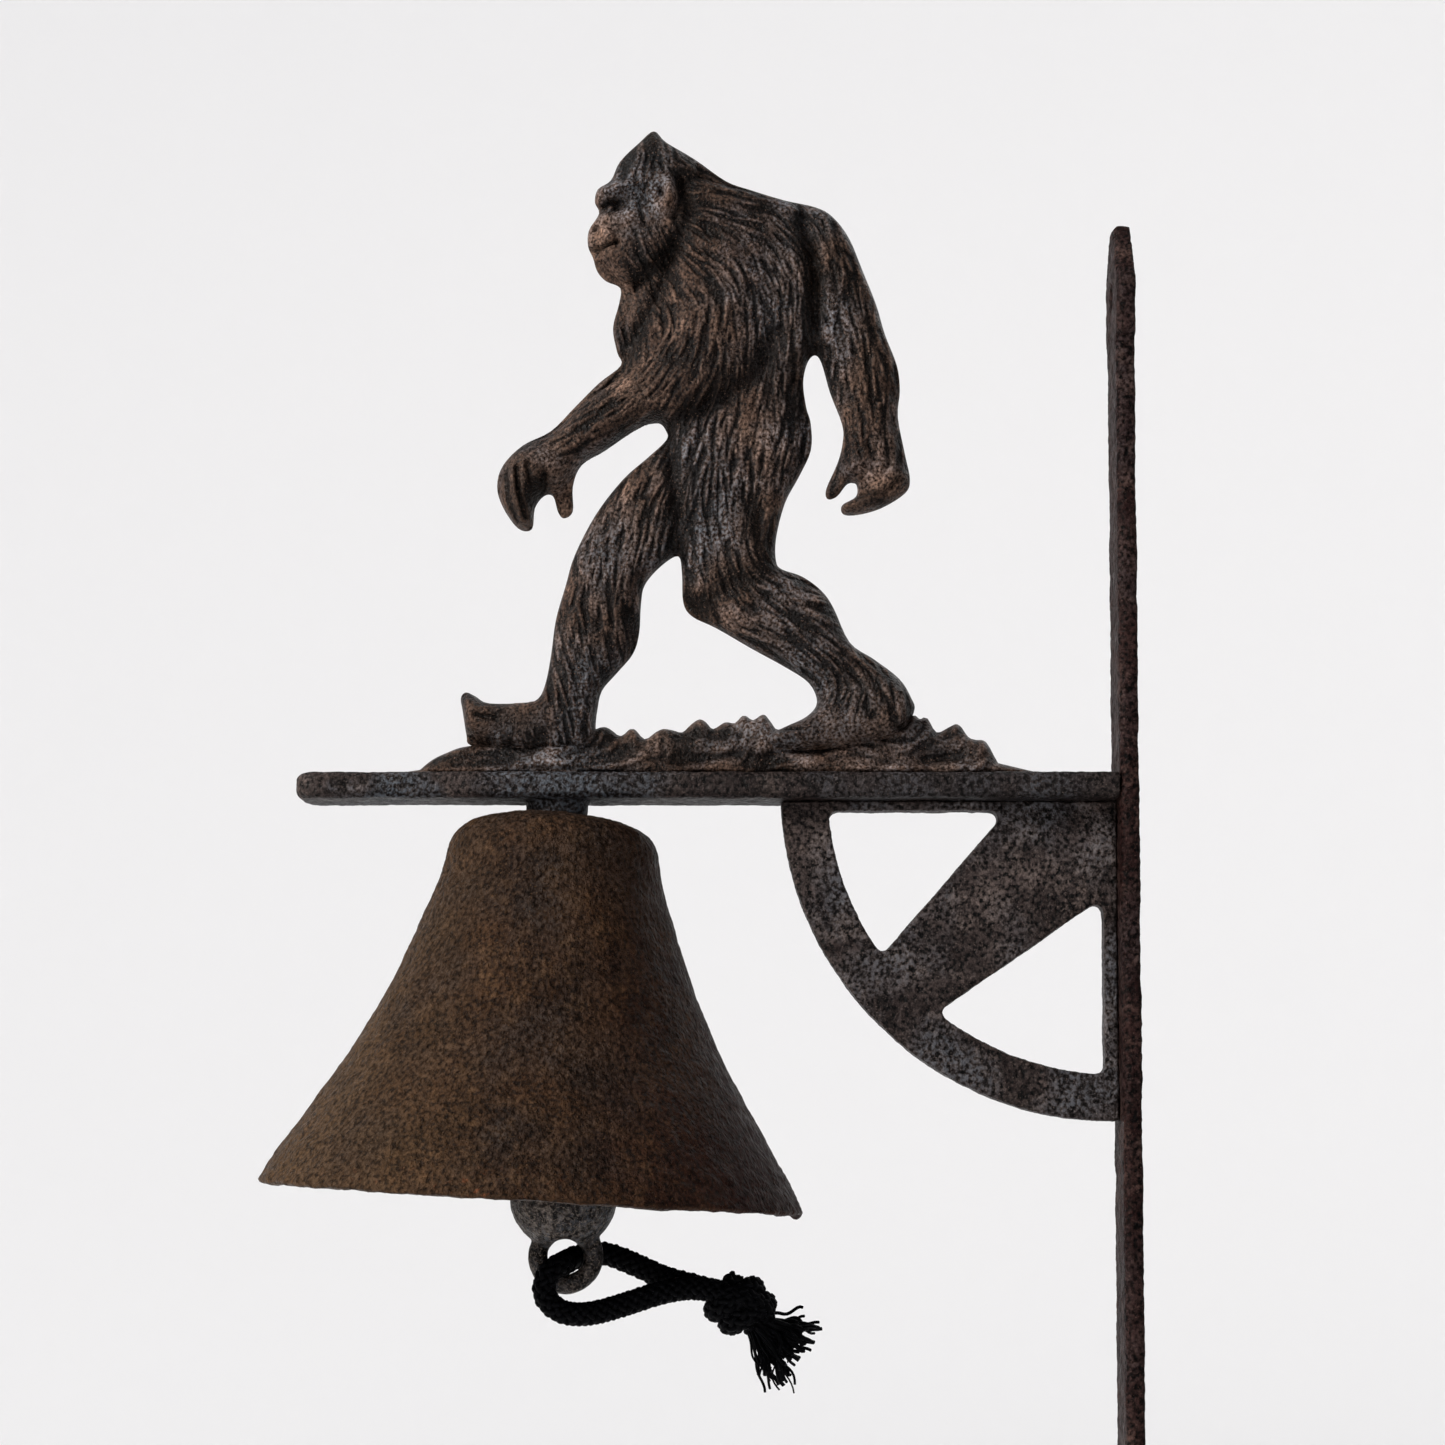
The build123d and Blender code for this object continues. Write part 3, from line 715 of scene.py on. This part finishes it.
TORSO = [(-92.7, 158.8, 15.4), (-100.5, 145.2, 18.8), (-99.7, 126.5, 20.4), (-97.0, 110.0, 19.6)]
HEAD = [(-113.7, 180.8, 10.8), (-115.3, 172.1, 12.5), (-117.4, 163.2, 9.0)]
BACK = [(-104.0, 168.0, 12.0), (-86.0, 160.5, 15.5), (-80.0, 142.5, 10.5)]
REAR_ARM = [(-72.9, 161.7, 11.6), (-68.0, 145.2, 9.8), (-64.8, 130.0, 9.4), (-62.9, 117.5, 7.8),
            (-61.1, 107.2, 8.3), (-61.3, 101.4, 5.6), (-67.5, 100.2, 2.6)]
FRONT_ARM = [(-95.5, 157.0, 13.0), (-98.5, 144.0, 13.0), (-104.5, 132.5, 10.0), (-114.0, 125.5, 9.2),
             (-125.0, 120.0, 7.4), (-134.5, 113.3, 5.6), (-142.0, 108.6, 7.5), (-145.8, 99.2, 4.6)]
FRONT_LEG = [(-105.5, 107.8, 15.8), (-114.9, 95.1, 13.0), (-123.8, 83.8, 11.3), (-127.1, 73.0, 10.6),
             (-130.1, 61.8, 9.2), (-133.1, 54.3, 8.6), (-148.8, 49.8, 6.0), (-155.6, 51.8, 4.2)]
REAR_LEG = [(-92.7, 103.1, 14.5), (-94.3, 85.7, 13.3), (-90.5, 77.3, 11.6), (-77.0, 69.3, 10.8),
            (-68.5, 61.0, 9.4), (-61.5, 53.0, 9.6), (-72.5, 48.4, 5.0), (-84.0, 45.4, 4.2)]
FRONT_FOOT = [(-134.0, 49.5, 9.0), (-147.0, 48.0, 7.2), (-155.6, 50.6, 4.6)]
REAR_FOOT = [(-60.5, 52.5, 9.6), (-71.5, 48.2, 7.0), (-84.0, 45.2, 4.4)]
# Each limb's stations and its height.
LIMBS = [(FRONT_FOOT, 5.6), (REAR_FOOT, 6.4), (TORSO, 4.4), (HEAD, 4.6), (BACK, 5.2), (REAR_ARM, 4.0),
         (FRONT_ARM, 6.0), (FRONT_LEG, 4.3), (REAR_LEG, 5.0)]
# Hairless patches: place and half sizes.
BARE = [(-125.0, 168.0, 7.8, 12.0), (-110.7, 174.3, 4.4, 6.4), (-142.7, 103.8, 10.5, 9.5),
        (-61.0, 104.0, 10.0, 7.5), (-149.5, 50.2, 14.0, 5.5), (-73.2, 46.2, 15.0, 5.0)]
# Painted light and shade: patches lighter on raised masses, darker in creases and under the hands
# and feet; place, half sizes, and how much lighter or darker.
LIGHT_AND_SHADE_PATCHES = [
    (-125.0, 168.0, 6.0, 9.0, 0.10), (-102.0, 178.8, 8.0, 6.0, -0.12), (-88.0, 140.7, 6.0, 13.0, -0.12),
    (-97.0, 133.0, 14.0, 4.0, -0.14), (-94.8, 157.0, 10.0, 9.0, 0.08), (-67.0, 143.0, 5.0, 9.0, 0.12),
    (-87.5, 118.0, 8.0, 6.0, 0.10), (-80.0, 121.6, 3.0, 10.0, -0.12), (-122.0, 131.0, 8.0, 4.0, 0.08),
    (-110.7, 96.0, 4.0, 9.0, -0.14), (-59.5, 107.0, 4.5, 4.0, 0.18), (-141.5, 103.5, 4.0, 5.0, -0.18),
    (-59.0, 101.2, 6.5, 1.7, -0.32), (-65.2, 113.0, 2.4, 3.0, -0.14), (-147.5, 108.0, 3.0, 8.0, -0.10),
    (-147.0, 49.0, 12.0, 6.0, -0.26), (-75.0, 46.5, 10.0, 3.5, -0.14), (-97.0, 146.0, 12.0, 14.0, 0.08),
    (-100.0, 118.0, 8.0, 8.0, 0.06),
]
# Folds where one mass of the body passes behind another, also painted darker as painted shade: path, half
# width and depth.
FOLDS = [
    ([(-78.0, 170.0), (-75.2, 157.0), (-75.0, 146.0), (-75.6, 137.0)], 1.7, 2.4),
    ([(-108.5, 163.0), (-112.0, 151.0), (-117.0, 142.0), (-121.5, 135.2)], 1.7, 1.3),
    ([(-110.4, 119.5), (-104.0, 122.5), (-96.0, 126.5), (-88.0, 132.5), (-84.5, 141.0)], 2.1, 1.7),
    ([(-109.8, 117.0), (-108.2, 104.0), (-107.4, 88.9)], 1.7, 1.6),
    ([(-84.5, 88.5), (-88.0, 93.5), (-90.0, 101.0)], 2.4, 1.0),
    ([(-106.8, 178.0), (-104.6, 170.0), (-108.0, 162.0), (-116.5, 155.0)], 1.6, 1.0),
    ([(-104.3, 75.5), (-96.0, 80.0), (-88.0, 84.0)], 2.6, 0.7),
]
# Bumps and hollows of a calm ape's face of plain proportions, an ear and the hands:
# place, half sizes, height and tilt.
FEATURES = [
    (-121.6, 176.9, 5.8, 1.5, 2.3, 6), (-123.0, 172.7, 3.4, 1.9, -3.6, 0),
    (-123.6, 172.4, 1.2, 0.9, 2.3, 0), (-118.9, 169.8, 3.2, 1.9, 1.0, -20),
    (-126.2, 165.2, 3.6, 3.6, 1.2, 0), (-127.2, 167.6, 0.9, 0.8, -1.8, 0),
    (-126.2, 160.4, 2.4, 1.0, 0.6, 0), (-110.4, 174.2, 2.5, 4.7, 3.8, -8),
    (-111.2, 174.9, 1.3, 2.6, -3.4, 0), (-141.0, 103.4, 2.6, 4.0, -1.6, -20),
    (-66.6, 108.6, 1.9, 1.9, 1.4, 0), (-139.4, 111.4, 2.4, 1.6, 0.9, 0),
    (-61.5, 104.8, 2.6, 1.6, -1.0, 30),
]
# Grooves of the eyelid, mouth, cheek and ear, then between fingers and toes: path, width, depth.
GROOVES = [
    ([(-125.4, 173.2), (-123.6, 173.7), (-121.8, 173.0)], 0.4, 0.8),
    ([(-129.0, 162.9), (-125.8, 162.5), (-122.4, 163.6)], 0.5, 2.0),
    ([(-124.6, 168.6), (-122.2, 165.8), (-121.8, 162.6)], 0.8, 1.0),
    ([(-107.6, 179.0), (-106.9, 174.5), (-108.6, 169.6)], 0.8, 1.6),
    ([(-148.2, 108.1), (-147.6, 101.6), (-145.4, 96.8)], 0.6, 1.5),
    ([(-145.6, 109.0), (-144.9, 103.0), (-143.6, 97.6)], 0.6, 1.5),
    ([(-143.0, 110.0), (-142.2, 105.6)], 0.6, 1.0),
    ([(-138.9, 107.6), (-139.6, 103.9)], 0.7, 1.3),
    ([(-66.6, 107.6), (-68.4, 104.2)], 0.6, 1.2),
    ([(-65.0, 102.6), (-58.5, 103.6), (-55.0, 107.4)], 0.7, 1.2),
    ([(-63.5, 109.8), (-59.5, 107.2), (-57.5, 110.6)], 0.6, 0.8),
    ([(-155.0, 50.2), (-150.0, 49.4)], 0.6, 0.9),
    ([(-83.5, 46.6), (-79.0, 46.9)], 0.5, 0.9),
]


def face_and_hands(place):
    """What the face, the ear, the fingers and the toes add to the relief."""
    lift = np.zeros(len(place))
    for feature in FEATURES:
        lift += bump_at(place, *feature)
    for path, width, depth in GROOVES:
        lift += groove(place, path, width, depth)
    return lift


def bare_skin(place):
    """1 where the figure has no hair: face, ear, hands and feet."""
    bare = np.zeros(len(place))
    for x, z, rx, rz in BARE:
        reach = ((place[:, 0] - x) / rx) ** 2 + ((place[:, 1] - z) / rz) ** 2
        bare = np.maximum(bare, np.exp(-reach**2))
    return np.clip(bare * 1.25, 0, 1)


def figure_height(place, gap):
    """Relief of the figure in mm, and its painted shade from 0 (deep, painted dark) to 1 (high, painted
    light).
    """
    swell = sum(limb_height(place, chain, depth) ** 6 for chain, depth in LIMBS) ** (1 / 6)
    lift = edge_round(gap, np.where(place[:, 1] < 56, 2.6, 4.6)) * (1.4 + swell)
    shade = np.zeros(len(place))
    for path, width, depth in FOLDS:
        fold = groove(place, path, width, depth)
        lift += fold
        # Painted shade: each fold also darkens the colour.
        shade += 0.34 * fold
    hair = strands(place, FLOW, 1.35, 8.5, seed=11)
    hairy = 1 - bare_skin(place)
    lift += edge_round(gap, 1.2) * hairy * 1.15 * (hair - 0.5)
    features = face_and_hands(place)
    lift += features * edge_round(gap, 1.0)
    # Painted light and shade patches.
    for x, z, rx, rz, tone in LIGHT_AND_SHADE_PATCHES:
        shade += tone * np.exp(-((place[:, 0] - x) / rx) ** 2 - ((place[:, 1] - z) / rz) ** 2)
    # Painted light and shade on bare skin: lighter on the face's and hands' bumps, darker in their hollows.
    skin = (1 - hairy) * 0.20 * np.clip(features, -2.4, 1.2)
    # Painted light on the tops of the hair locks and painted shade between them, with the folds' and patches'
    # painted shade; a random tone follows.
    rust_and_painted_shade = 0.46 + hairy * 0.85 * (hair - 0.58) + skin + shade
    return np.maximum(lift, 0.25), np.clip(rust_and_painted_shade + 0.10 * flat_noise(place, 9.0, 77), 0, 1)


GRASS_FLOW = [(-160, 40, 1.0, 0.12), (-140, 40, 1.0, 0.02), (-120, 39, 1.0, 0.05), (-100, 40, 1.0, -0.04),
              (-80, 40, 1.0, 0.06), (-60, 42, 1.0, -0.20), (-45, 41, 1.0, -0.25), (-120, 47, 0.10, 1.0),
              (-110, 47, -0.1, 1.0), (-102, 49, 0.15, 1.0), (-95, 49, -0.05, 1.0), (-88, 49, 0.2, 1.0),
              (-48, 49, 0.35, 1.0), (-41, 47, 0.5, 1.0), (-36, 43, 0.6, 1.0)]


def grass_height(place, gap):
    """Relief of the mound in mm, and its shade: low and swelling at the front, blades on top."""
    rise = np.clip((place[:, 1] - 36) / 14, 0, 1)
    lift = edge_round(gap, 3.2) * (6.8 - 4.0 * rise)
    blades = strands(place, GRASS_FLOW, 2.3, 10.0, seed=23, cover=2.0)
    lift += edge_round(gap, 1.5) * 1.2 * (blades - 0.5)
    ripple = flat_noise(place * (0.3, 1), 3.0, 31)
    lift += 1.3 * ripple * edge_round(gap, 2.0)
    # The second value is painted light and shade: lighter on the blade tops and ripple crests, darker between
    # them.
    return np.maximum(lift, 0.25), np.clip(0.40 + 0.48 * (blades - 0.5) + 0.30 * ripple, 0, 1)


# ---------------- bell
BELL_X, CROWN_Z, BELL_TILT = -136.1, 27.1, radians(3.5)
BELL_OUTSIDE = [(3.4, 0.0), (9.5, 0.0), (16.0, -1.2), (20.0, -2.6), (22.6, -4.6), (24.2, -7.4), (24.9, -10.5),
                (26.3, -16.5), (28.4, -22.4), (31.8, -31.8), (35.7, -41.1), (40.2, -50.4), (45.3, -59.8),
                (51.2, -69.2), (57.2, -78.6), (60.6, -84.0), (62.6, -87.6), (63.4, -89.2)]
BELL_INSIDE = [(63.1, -89.8), (62.4, -90.0), (60.4, -90.0), (59.2, -88.8), (56.4, -84.0), (53.0, -79.4),
               (41.2, -60.6), (31.7, -42.0), (24.6, -24.0), (21.2, -12.0), (18.4, -7.6), (12.5, -5.4),
               (3.4, -5.0)]


def bell_points(radius, drop, turn):
    """From bell coordinates to the frame: the axis leans, and the mouth swings to the left."""
    x, y, z = radius * np.cos(turn), radius * np.sin(turn), drop
    return np.stack([BELL_X + x * cos(BELL_TILT) + z * sin(BELL_TILT), y,
                     CROWN_Z - x * sin(BELL_TILT) + z * cos(BELL_TILT)], -1)


# Flash left on the rim (x, y, length), and a pimple of metal on the flank.
FLASH = [(-146.0, -58.0, 1.1), (-79.8, 3.0, 1.2)]
PIMPLE = (-141.0, -28.6, 4.4)


def spun_faces(rings, around):
    """Quads of a surface closed both round its axis and along its profile."""
    ring, k = np.meshgrid(np.arange(rings), np.arange(around), indexing="ij")
    after = (k + 1) % around
    below = (ring + 1) % rings
    corners = [ring * around + k, ring * around + after, below * around + after, below * around + k]
    return np.stack(corners, -1).reshape(-1, 4)[:, ::-1]


def make_bell(material):
    profile = np.vstack([curve_through(BELL_OUTSIDE, 8), curve_through(BELL_INSIDE, 10)])
    slope = np.gradient(profile, axis=0)
    slope /= np.linalg.norm(slope, axis=1)[:, None]
    around = 360
    turn = np.tile(np.arange(around) * tau / around, len(profile))
    radius, drop = np.repeat(profile[:, 0], around), np.repeat(profile[:, 1], around)
    out, up = np.repeat(-slope[:, 1], around), np.repeat(slope[:, 0], around)
    points = bell_points(radius, drop, turn)
    normals = bell_points(radius + out, drop + up, turn) - points
    points = sand_cast(points, normals, rough=0.16, lumps=0.22, seed=41)
    # Wrinkles that grow from 50 mm below the crown, then the pimple, then flash at the rim.
    low = np.clip((-drop - 50) / 40, 0, 1)
    wrinkles = value_noise(points * (1, 1, 1.8), 3.4, 47) + 0.6 * value_noise(points, 1.9, 48)
    points += normals * (0.20 * low * wrinkles)[:, None]
    gap = np.linalg.norm(points - PIMPLE, axis=1)
    points += normals * (1.1 * np.exp(-(gap / 1.3) ** 2))[:, None]
    at_rim = np.clip((-drop - 87.5) / 2.0, 0, 1)
    for x, y, size in FLASH:
        gap = np.hypot(points[:, 0] - x, points[:, 1] - y)
        points[:, 2] -= size * at_rim * np.exp(-(gap / 1.3) ** 2)
    rusty = np.clip((-drop - 82) / 7, 0, 1) * np.clip((-115 - points[:, 0]) / 40, 0.15, 1)
    faces = spun_faces(len(profile), around)
    return make_piece("bell_casting", points, faces, material, "bracket", ("bell",), rust_and_painted_shade=rusty)


# ---------------- rope
ROPE_D = 5.0
ROPE_FRONT = [
    (-133.6, 0.0, -77.5), (-133.6, -5.4, -77.5), (-137.2, -8.8, -79.2), (-138.6, -8.9, -84.6),
    (-134.6, -8.2, -88.9), (-128.0, -7.0, -89.4), (-120.0, -5.6, -87.2), (-111.2, -4.2, -84.2),
    (-102.8, -3.2, -82.9), (-96.6, -2.8, -84.4),
]
ROPE_BACK = [
    (-133.6, 0.0, -77.5), (-133.6, 5.4, -77.5), (-130.0, 8.8, -75.6), (-124.4, 8.6, -75.4),
    (-117.8, 7.0, -78.0), (-110.4, 5.0, -81.4), (-103.0, 3.4, -83.0), (-96.8, 2.8, -85.0),
]


def route(points):
    """Places along the smooth NURBS route of a cord, in millimetres."""
    curve = bpy.data.curves.new("route", "CURVE")
    curve.dimensions = "3D"
    curve.resolution_u = 24
    spline = curve.splines.new("NURBS")
    spline.points.add(len(points) - 1)
    for point, place in zip(spline.points, points):
        point.co = (*[v * MM for v in place], 1)
    spline.order_u = 3
    spline.use_endpoint_u = True
    holder = bpy.data.objects.new("route", curve)
    bpy.context.collection.objects.link(holder)
    mesh = bpy.data.meshes.new_from_object(holder.evaluated_get(bpy.context.evaluated_depsgraph_get()))
    places = np.array([v.co for v in mesh.vertices]) / MM
    bpy.data.objects.remove(holder)
    return places


def even_steps(path, step):
    path = np.asarray(path, float)
    gaps = np.linalg.norm(np.diff(path, axis=0), axis=1)
    along = np.concatenate([[0], np.cumsum(gaps)])
    wanted = np.linspace(0, along[-1], max(3, int(along[-1] / step)))
    return np.stack([np.interp(wanted, along, path[:, axis]) for axis in range(3)], 1), along[-1]


def frames_along(path):
    """Two unit directions across the path at each of its places, without twist."""
    ways = np.gradient(path, axis=0)
    ways /= np.linalg.norm(ways, axis=1)[:, None]
    side = np.cross(ways[0], (0.2, 0.4, 0.9))
    across, others = [], []
    for way in ways:
        side = side - way * side.dot(way)
        side = side / np.linalg.norm(side)
        across.append(side)
        others.append(np.cross(way, side))
    return np.array(across), np.array(others)


def braid(path, diameter, each_way=6, pitch=15.0):
    """A round braid: strands wind both ways round the path and pass over and under each other."""
    path, length = even_steps(path, 0.32)
    across, others = frames_along(path)
    travelled = np.linspace(0, length, len(path))
    thick = diameter * 0.20
    shapes = []
    for hand in (1, -1):
        for strand in range(each_way):
            turn = hand * tau * travelled / pitch + tau * strand / each_way
            weave = np.cos(each_way * tau * travelled / pitch + (0 if hand > 0 else pi))
            radius = diameter / 2 - thick * 0.62 + 0.36 * thick * weave
            outward = np.cos(turn)[:, None] * across + np.sin(turn)[:, None] * others
            shapes.append(tube(path + radius[:, None] * outward, thick * 0.72, 6))
    core = tube(path, diameter * 0.33, 10)
    return join_shapes(shapes + [core])


# The knot: its middle, the way the cord runs through it, and across that and in depth.
KNOT_MIDDLE = np.array((-93.0, 0.0, -87.2))
KNOT_WAYS = np.array(((0.68, 0.0, -0.733), (0.733, 0.0, 0.68), (0.0, 1.0, 0.0)))
# Laps in those directions, and how thick each is drawn.
KNOT_LAPS = [
    ([(-5.0, -2.0, -3.0), (-2.6, 0.6, -5.4), (1.0, 2.6, -5.6), (4.6, 3.4, -3.2), (6.4, 2.0, -0.6)], 4.4),
    ([(-6.4, 0.0, 0.0), (0.0, 0.0, 0.0), (6.2, -0.6, 0.0)], 5.6),
]


def make_knot(material):
    """An overhand knot pulled tight: wraps round its middle and one pass across them."""
    down, across, depth = KNOT_WAYS
    turns = np.linspace(0, 2.0 * tau, 120)
    wrap = []
    for turn in turns:
        part = turn / turns[-1]
        outward = across * cos(turn + 0.9) + depth * sin(turn + 0.9)
        wrap.append(KNOT_MIDDLE + down * (-4.4 + 8.8 * part) + (5.1 - 0.7 * part) * outward)
    shapes = [braid(wrap, 5.2)]
    for lap, thick in KNOT_LAPS:
        shapes.append(braid(curve_through(KNOT_MIDDLE + np.array(lap) @ KNOT_WAYS, 14), thick))
    points, faces = join_shapes(shapes)
    return make_piece("knot_lump", points, faces, material, "rope", ("rope_knot",))


# Each unlaid bundle: root, direction, length, spread, number of yarns and yarn radius.
FRAYS = [
    ((-88.8, -0.8, -91.2), (0.84, -0.05, -0.54), 12.5, 0.55, 46, 0.52),
    ((-88.6, -0.4, -91.2), (0.96, 0.00, -0.22), 13.5, 0.30, 26, 0.46),
    ((-89.6, 1.2, -92.6), (0.42, 0.08, -0.91), 15.5, 0.17, 18, 0.46),
    ((-88.8, 0.0, -92.0), (0.66, 0.02, -0.75), 11.0, 0.48, 46, 0.30),
    ((-89.6, 0.8, -92.4), (0.44, 0.05, -0.90), 17.0, 0.17, 14, 0.26),
]


def yarn(draw, start, way, across, length, spread, radius):
    """One loose wavy yarn of a frayed end."""
    side, other = across
    angle, out = draw.uniform(0, tau), draw.random() ** 0.5
    sideways = cos(angle) * side + sin(angle) * other
    reach = length * draw.uniform(0.62, 1.04)
    t = np.linspace(0, 1, 18)[:, None]
    line = start + 2.0 * out * sideways + way * reach * t + spread * reach * out * sideways * t**1.3
    curl = draw.uniform(0.8, 1.9) * tau
    phase = draw.uniform(0, tau)
    swing = draw.uniform(0.5, 1.3) * t**1.5
    line = line + swing * (np.cos(curl * t + phase) * side + np.sin(curl * t + phase) * other)
    line = line + draw.normal(0, 0.8, 3) * t**2
    return tube(line, radius * draw.uniform(0.8, 1.15) * np.linspace(1.0, 0.85, 18), 5)


def make_frayed_ends(material):
    """Both cut ends, unlaid into loose wavy yarns and fine fibres."""
    draw = np.random.default_rng(17)
    shapes = []
    for start, way, length, spread, count, radius in FRAYS:
        way = np.array(way) / np.linalg.norm(way)
        side = np.cross(way, (0, 1, 0))
        side /= np.linalg.norm(side)
        across = (side, np.cross(way, side))
        shapes += [yarn(draw, np.array(start), way, across, length, spread, radius) for _ in range(count)]
    points, faces = join_shapes(shapes)
    return make_piece("frayed_fibres", points, faces, material, "rope", ("frayed_ends",))


def make_rope(material):
    knot = make_knot(material)
    frayed = make_frayed_ends(material)
    for name, points in (("front", ROPE_FRONT), ("back", ROPE_BACK)):
        path = route(points)
        shape, faces = braid(path, ROPE_D)
        piece = make_piece("rope_" + name + "_braid", shape, faces, material, "rope",
                           ("rope_" + name,))


# ---------------- the whole object
GREYS = dict(dark=(0.0040, 0.0028, 0.0026), middle=(0.0108, 0.0081, 0.0075),
             light=(0.041, 0.031, 0.027), slate=(0.0165, 0.0190, 0.0225))
IRONS = {
    # The wall bar: a darker, redder copy of the iron, painted shade for the bar on the side away from the key
    # light.
    "bar_iron": dict(
        dark=(0.0032, 0.0013, 0.0012), middle=(0.0070, 0.0036, 0.0032), light=(0.028, 0.0165, 0.0135),
        slate=(0.0090, 0.0080, 0.0085), slate_amount=0.35,
        grain=1050, grain_and_shade_tones=(0.08, 2.6), shine=0.025),
    "brace_iron": dict(**GREYS, slate_amount=0.5, grain=1150, grain_and_shade_tones=(0.0, 3.1), shine=0.05),
    "arm_iron": dict(
        **GREYS, slate_amount=0.9, grain=1150, shine=0.05,
        # Painted shade: the arm darkens towards its right end, away from the key light.
        painted_side_shading=[(-0.15, -0.02, (0.0050, 0.0038, 0.0037))]),
    "figure_iron": dict(
        # The figure and the mound are painted lighter and darker by their ridge attribute (painted light and
        # shade).
        dark=(0.0085, 0.0048, 0.0034), middle=(0.0210, 0.0130, 0.0094), light=(0.066, 0.041, 0.030),
        slate=(0.026, 0.030, 0.035), slate_amount=0.62, painted_shading=True, grain=1400, shine=0.05),
    "bell_iron": dict(
        dark=(0.0070, 0.0034, 0.0017), middle=(0.0155, 0.0078, 0.0040), light=(0.040, 0.0215, 0.0105),
        slate=(0.0105, 0.0088, 0.0080), slate_amount=0.6, rust_amount=0.45,
        grain=950, grain_and_shade_tones=(0.35, 1.85), shine=0.030, sand_depth=0.0018,
        # Painted shade in dark red on the bell's right side, and painted light in tan on its left side.
        painted_side_shading=[(-0.130, -0.090, (0.0066, 0.0013, 0.0009)), (-0.146, -0.180, (0.0260, 0.0150, 0.0075))]),
    "clapper_iron": dict(
        dark=(0.0022, 0.0015, 0.0013), middle=(0.0058, 0.0042, 0.0034), light=(0.100, 0.082, 0.070),
        slate=(0.013, 0.015, 0.018), slate_amount=0.6,
        grain=800, grain_and_shade_tones=(0.0, 2.6), shine=0.07, veins=0.70, sand_depth=0.0014),
}
# CAD nodes that get a sand-cast skin: node, iron, body, slot, voxel in mm, seed and roughness.
CAST_COPIES = [
    ("wall_bar", "bar_iron", "bracket", "bracket_iron", 0.65, 51, 0.10),
    ("arm", "arm_iron", "bracket", "bracket_iron", 0.55, 61, 0.10),
    ("brace", "brace_iron", "bracket", "bracket_iron", 0.6, 71, 0.10),
    ("clapper", "clapper_iron", "clapper", "clapper_iron", 0.4, 81, 0.08),
]
# CAD nodes that are shown as they are, in steel.
STEEL_NODES = ("lock_washer", "lock_nut", "eye_screw", "hanger_link")


def build():
    add_camera()
    add_lights()
    add_stage()
    make_rope(black_cord())
    irons = {name: iron(name, **look) for name, look in IRONS.items()}
    steel = dull_steel()
    relief("walking_figure_casting", smooth_loop(BODY_OUTLINE), figure_height, 0.30,
           irons["figure_iron"], ("walking_figure",))
    relief("grass_mound_casting", smooth_loop(GRASS_OUTLINE, 3), grass_height, 0.45,
           irons["figure_iron"], ("ground_base",))
    make_bell(irons["bell_iron"])
    for node, kind, body, slot, voxel, seed, rough in CAST_COPIES:
        cast_copy(node, node + "_casting", irons[kind], body, voxel, seed, rough)
    for node in STEEL_NODES:
        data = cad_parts[node].data
        data.materials.clear()
        data.materials.append(steel)


build()
